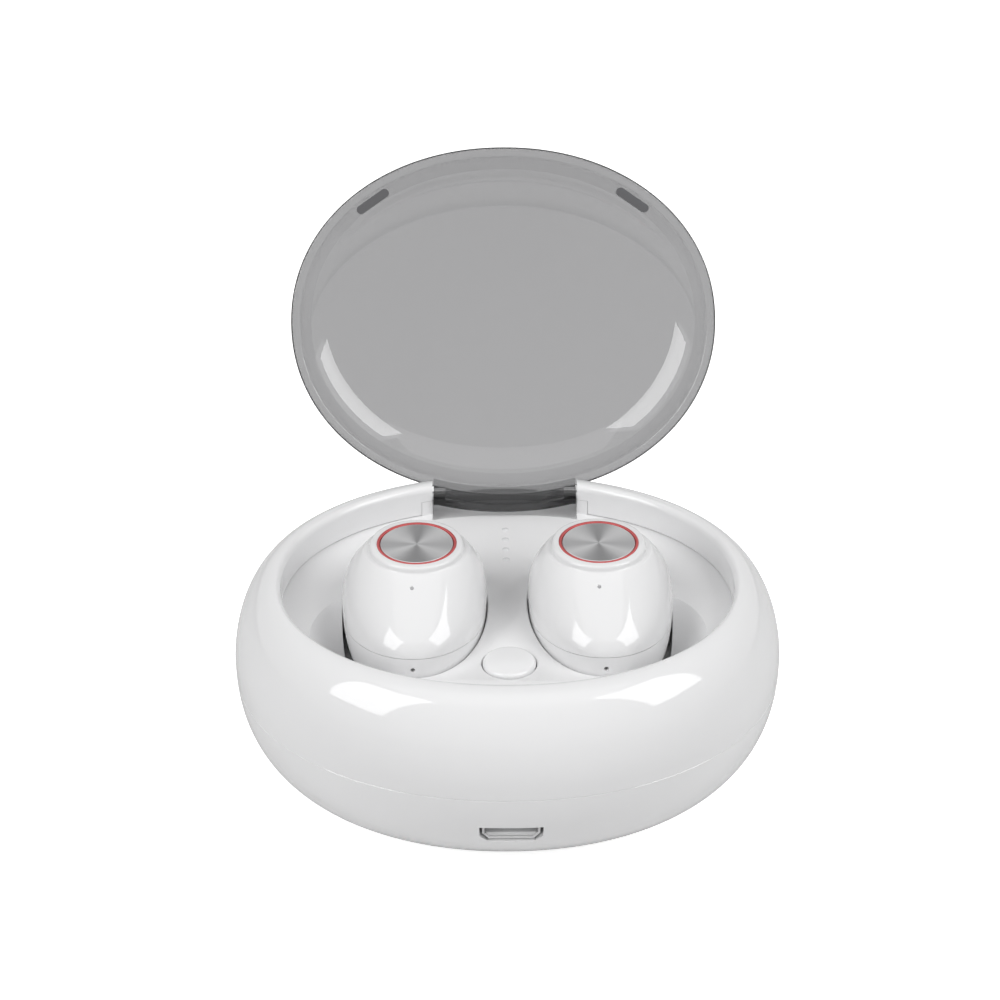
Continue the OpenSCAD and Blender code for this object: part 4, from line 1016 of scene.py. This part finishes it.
def bud_level(side, z, inset=0.0):
    depth = min(-z / BUD_BELLY, 1)
    y = 1.5 * depth
    front = roof(z) if z > -BUD_NOSE else swell(z, BUD_NOSE, 1, 0, BUD_FRONT, 11, 2, 2.5)
    back = swell(z, BUD_BELLY, BUD_BELLY + 0.3, 2, BUD_BACK, 6.2, 1.5, 2.6)
    half = swell(z, BUD_BELLY, BUD_BELLY + 0.2, 4.4, BUD_W, 5.6, 2, 2.6)
    return (z, half - inset, front + y - inset, max(back, COLLAR_R) - y - inset, side * BODY_SHIFT * depth, y)


def half_space(low, high):
    """Large slab beside the parting plane, which drops from the nose to the back."""
    slab = block("half space", -20, 20, -20, 40, low, high)
    slab.data.transform(SEAM_PLACE)
    return slab


def bud_place(side):
    return shift(side * CAP_X, CAP_Y, CAP_TOP)


def nozzle_place(side):
    return (bud_place(side) @ shift(side * BODY_SHIFT, NOZZLE_Y, -BUD_H)
            @ Matrix.Rotation(math.pi - NOZZLE_TILT, 4, "X"))


def upper_housing(side):
    low = -BUD_H + 3.2
    inside = [bud_level(side, z, BUD_WALL) for z in steps(-2.1, low, 24)]
    outside = [bud_level(side, z) for z in steps(low, -1.05, 60)]
    # the body flows into the collar through a small hollow
    join = bud_level(side, -1.0)
    collar = []
    for z, r, blend in ((-0.98, 6.5, 0.85), (-0.93, 6.44, 0.55), (-0.86, 6.36, 0.25), (-0.77, 6.32, 0.08),
                        (-0.6, 6.3, 0.0), (-0.4, 6.28, 0.0), (-0.22, 6.22, 0.0), (-0.1, 6.13, 0.0),
                        (-0.03, 6.0, 0.0), (0.0, 5.86, 0.0)):
        collar.append((z, r + (join[1] - r) * blend, r + (join[2] - r) * blend, r + (join[3] - r) * blend,
                       join[4] * blend, join[5] * blend))
    body = skin("upper_housing", inside + outside + collar, BUD_SIDES, 2.05)
    cuts = [half_space(-30, SEAM_GAP), rod("recess", 10.66, -RECESS, 1, sides=128),
            rod("stem hole", 2.3, -3, 1, sides=32),
            rod("light hole", 0.52, -8, 1, side * BODY_SHIFT / 3 - 0.4, -8.1, 20)]
    combine(body, cuts, "DIFFERENCE")
    body.data.transform(bud_place(side))
    return body


def lower_housing(side):
    outside = [bud_level(side, -BUD_H + d) for d in (0, 0.03, 0.1, 0.2, 0.35, 0.55, 0.8, 1.1, 1.5, 2.0)]
    outside += [bud_level(side, z) for z in steps(-BUD_H + 2.4, -6.6, 34)]
    inside = [bud_level(side, z, BUD_WALL) for z in steps(-6.6, -BUD_H + BUD_WALL + 0.9, 22)]
    inside.append(bud_level(side, -BUD_H + BUD_WALL, BUD_WALL))
    body = skin("lower_housing", outside + inside, BUD_SIDES, 2.05)
    mic = rod("mic hole", 0.6, -6, 0, sides=24)
    mic.data.transform(shift(side * BODY_SHIFT, -BUD_FRONT + 3, -9.4) @ Matrix.Rotation(-math.pi / 2, 4, "X"))
    cuts = [half_space(-SEAM_GAP, 30), mic]
    for place in (-1, 1):
        x = side * BODY_SHIFT + place * CONTACT_X
        cuts.append(rod("pad hole", 1.82, -BUD_H - 1, -BUD_H + 3, x, CONTACT_Y, 32))
    combine(body, cuts, "DIFFERENCE")
    body.data.transform(bud_place(side))
    hole = rod("nozzle hole", 5.42, -2.6, 3)
    hole.data.transform(nozzle_place(side))
    return combine(body, [hole], "DIFFERENCE")


def ring_piece(side):
    out, inn, e = 5.31, 4.93, 0.07
    profile = [(inn, -RECESS), (out, -RECESS), (out, 0.05 - e), (out - e * 0.3, 0.05 - e * 0.3), (out - e, 0.05),
               (inn + e, 0.05), (inn + e * 0.3, 0.05 - e * 0.3), (inn, 0.05 - e)]
    return lathe("cap_ring", profile, 160, bud_place(side))


def cap_piece(side):
    """Turned cap: bevelled rim, very slightly hollow face with fine turning ridges, and its stem."""
    r = 4.87
    profile = [(0, -3.3), (0.9, -3.3), (0.9, -0.55), (r, -0.55), (r, -0.13), (r - 0.04, -0.05), (r - 0.1, -0.015)]
    count = 60
    for k in range(count):
        share = 1 - k / count
        ridge = 0.0012 if k % 2 else 0.0
        profile.append(((r - 0.14) * share, -0.02 - 0.1 * (1 - share ** 2) - ridge))
    profile.append((0, -0.12))
    return lathe("spun_cap", profile, 160, bud_place(side))


def nozzle_piece(side):
    profile = [(1.9, -0.2), (1.9, 5.8), (2.65, 5.8), (2.85, 5.75), (2.98, 5.6), (3.0, 5.4), (2.98, 5.2),
               (2.88, 5.05), (2.7, 5.0), (2.7, 0.3), (2.7, -0.2)]
    return lathe("nozzle", profile, 96, nozzle_place(side))


def tip_piece(side):
    r, core, nose, start, skirt, end, wall = 6.0, 2.72, 3.4, 1.2, 2.6, 6.6, 0.7
    dome = end - skirt
    profile = [(core, start), (core + 0.35, start - 0.08), (core + 0.7, start), (core + 0.7, end - 1.6),
               (nose - 0.3, end - 1.1)]
    profile += [(nose - 0.5 + (r - wall - nose + 0.5) * math.cos(t), skirt + (dome - wall) * math.sin(t))
                for t in (math.radians(a) for a in range(75, -1, -5))]
    profile += [(r - wall / 2, skirt - 0.18)]
    profile += [(nose - 0.5 + (r - nose + 0.5) * math.cos(t), skirt + dome * math.sin(t))
                for t in (math.radians(a) for a in range(0, 81, 5))]
    profile += [(nose - 0.9, end), (2.2, end + 0.02), (2.05, end - 0.08), (2.0, end - 0.3), (2.0, 5.82),
                (3.02, 5.82), (3.02, 4.98), (core, 4.98)]
    return lathe("ear_tip", profile, 128, nozzle_place(side))


WIRE_MESH = wire_mesh_tree()

for side, sign in (("left", -1), ("right", 1)):
    bud = f"{side}_earbud"
    for piece, node, material, mat_slot in (
            (upper_housing(sign), "upper_housing", BUD_WHITE, "white_shell"),
            (lower_housing(sign), "lower_housing", BUD_WHITE, "white_shell"),
            (ring_piece(sign), "cap_ring", RED_RING, "red_ring"),
            (nozzle_piece(sign), "nozzle", TRAY_WHITE, "tray_white"),
            (tip_piece(sign), "ear_tip", SILICONE, "silicone")):
        piece.name = f"{side}_{node}_shown"
        finish_piece(piece, bud, material, [f"{side}_{node}"])
    cap = cap_piece(sign)
    cap.name = f"{side}_cap_shown"
    finish_piece(cap, f"{side}_cap", SPUN[side], [f"{side}_cap"])
    mesh = run_tree(f"{side}_sound_mesh", WIRE_MESH,
                    {"Radius": 1.88 * MM, "Wires": 13, "Thickness": 0.13 * MM}, STEEL)
    mesh.data.transform(nozzle_place(sign) @ shift(0, 0, 5.6))
    finish_piece(mesh, bud, STEEL, [f"{side}_nozzle_mesh"])


# ---- finishes of the other CAD nodes

FINISHES = {
    "screw_steel": STEEL, "bright_metal": NICKEL, "board_green": CIRCUIT, "black_plastic": BLACK,
    "light_pipe": WINDOW, "battery_foil": FOIL, "gold_contact": GOLD, "dark_lens": DARK_LENS,
    "white_shell": SHELL_WHITE, "tray_white": TRAY_WHITE, "spun_cap": STEEL, "red_ring": RED_RING,
    "silicone": SILICONE, "smoky_clear": SMOKE,
}
for part in frame["record"]["subparts"]:
    cad = frame["nodes"][part["node"]]
    for material_slot in cad.material_slots:
        material_slot.material = TRAY_WHITE if part["node"] == "usb_socket" else FINISHES[part["material_slot"]]


# ---- floor, light and camera

def add_white_for_view(material, strength):
    """Adds plain white for what the camera and clear parts see, not for the light."""
    w, shader = wires_of(material)
    path = w.add("ShaderNodeLightPath").outputs
    seen = w.math("MINIMUM", w.math("ADD", path["Is Camera Ray"], path["Is Transmission Ray"]), 1.0)
    w.link(w.math("MULTIPLY", seen, strength), shader.inputs["Emission Strength"])
    shader.inputs["Emission Color"].default_value = (1, 1, 1, 1)


floor_mesh = bpy.data.meshes.new("floor")
floor_mesh.from_pydata([(-6, -6, 0), (6, -6, 0), (6, 6, 0), (-6, 6, 0)], [], [(0, 1, 2, 3)])
FLOOR_WHITE = plain_material("pale floor", (0.8, 0.8, 0.8), 0.7, tint=0.0, bump=0.0, Specular_IOR_Level=0.1)
add_white_for_view(FLOOR_WHITE, 0.8)
floor = new_mesh_object("floor", floor_mesh, FLOOR_WHITE)
floor.location.z = -0.0002

world = bpy.data.worlds.new("soft room")
bpy.context.scene.world = world
world.use_nodes = True
room = Wires(world.node_tree)
background = next(n for n in world.node_tree.nodes if n.type == "BACKGROUND")
background.inputs["Color"].default_value = (1, 1, 1, 1)
path = room.add("ShaderNodeLightPath").outputs
seen = room.math("MINIMUM", room.math("ADD", room.math("ADD", path["Is Camera Ray"], path["Is Glossy Ray"]),
                                     path["Is Transmission Ray"]), 1.0)
room.link(room.math("MULTIPLY_ADD", seen, 0.8, 0.2), background.inputs["Strength"])


def softbox(name, azimuth, elevation, distance, width, height, watts):
    """Rectangular soft light. Azimuth 0 is at the front, positive to the right."""
    light = bpy.data.lights.new(name, "AREA")
    light.shape = "RECTANGLE"
    light.size, light.size_y, light.energy = width, height, watts
    lamp = bpy.data.objects.new(name, light)
    bpy.context.scene.collection.objects.link(lamp)
    a, e = math.radians(azimuth), math.radians(elevation)
    spot = Vector((math.sin(a) * math.cos(e), -math.cos(a) * math.cos(e), math.sin(e))) * distance
    spot += Vector((0, 0, 0.02))
    lamp.location = spot
    lamp.rotation_euler = (Vector((0, 0, 0.02)) - spot).to_track_quat("-Z", "Y").to_euler()
    return lamp


softbox("soft light left", -57, 40, 0.75, 0.34, 0.53, 2.9)
softbox("soft light right", 66, 42, 0.75, 0.34, 0.53, 2.9)
softbox("soft light above", 0, 78, 0.9, 0.8, 0.6, 1.3)

camera_data = bpy.data.cameras.new("camera")
camera_data.lens = 94.93
camera_data.sensor_width = 36
camera_data.clip_start = 0.01
camera = bpy.data.objects.new("camera", camera_data)
bpy.context.scene.collection.objects.link(camera)
camera.location = (-0.00532, -0.29955, 0.21961)
camera.rotation_euler = (math.radians(90 - 30.708), 0, math.radians(-0.824))
bpy.context.scene.camera = camera

bpy.context.scene.view_settings.view_transform = "Standard"
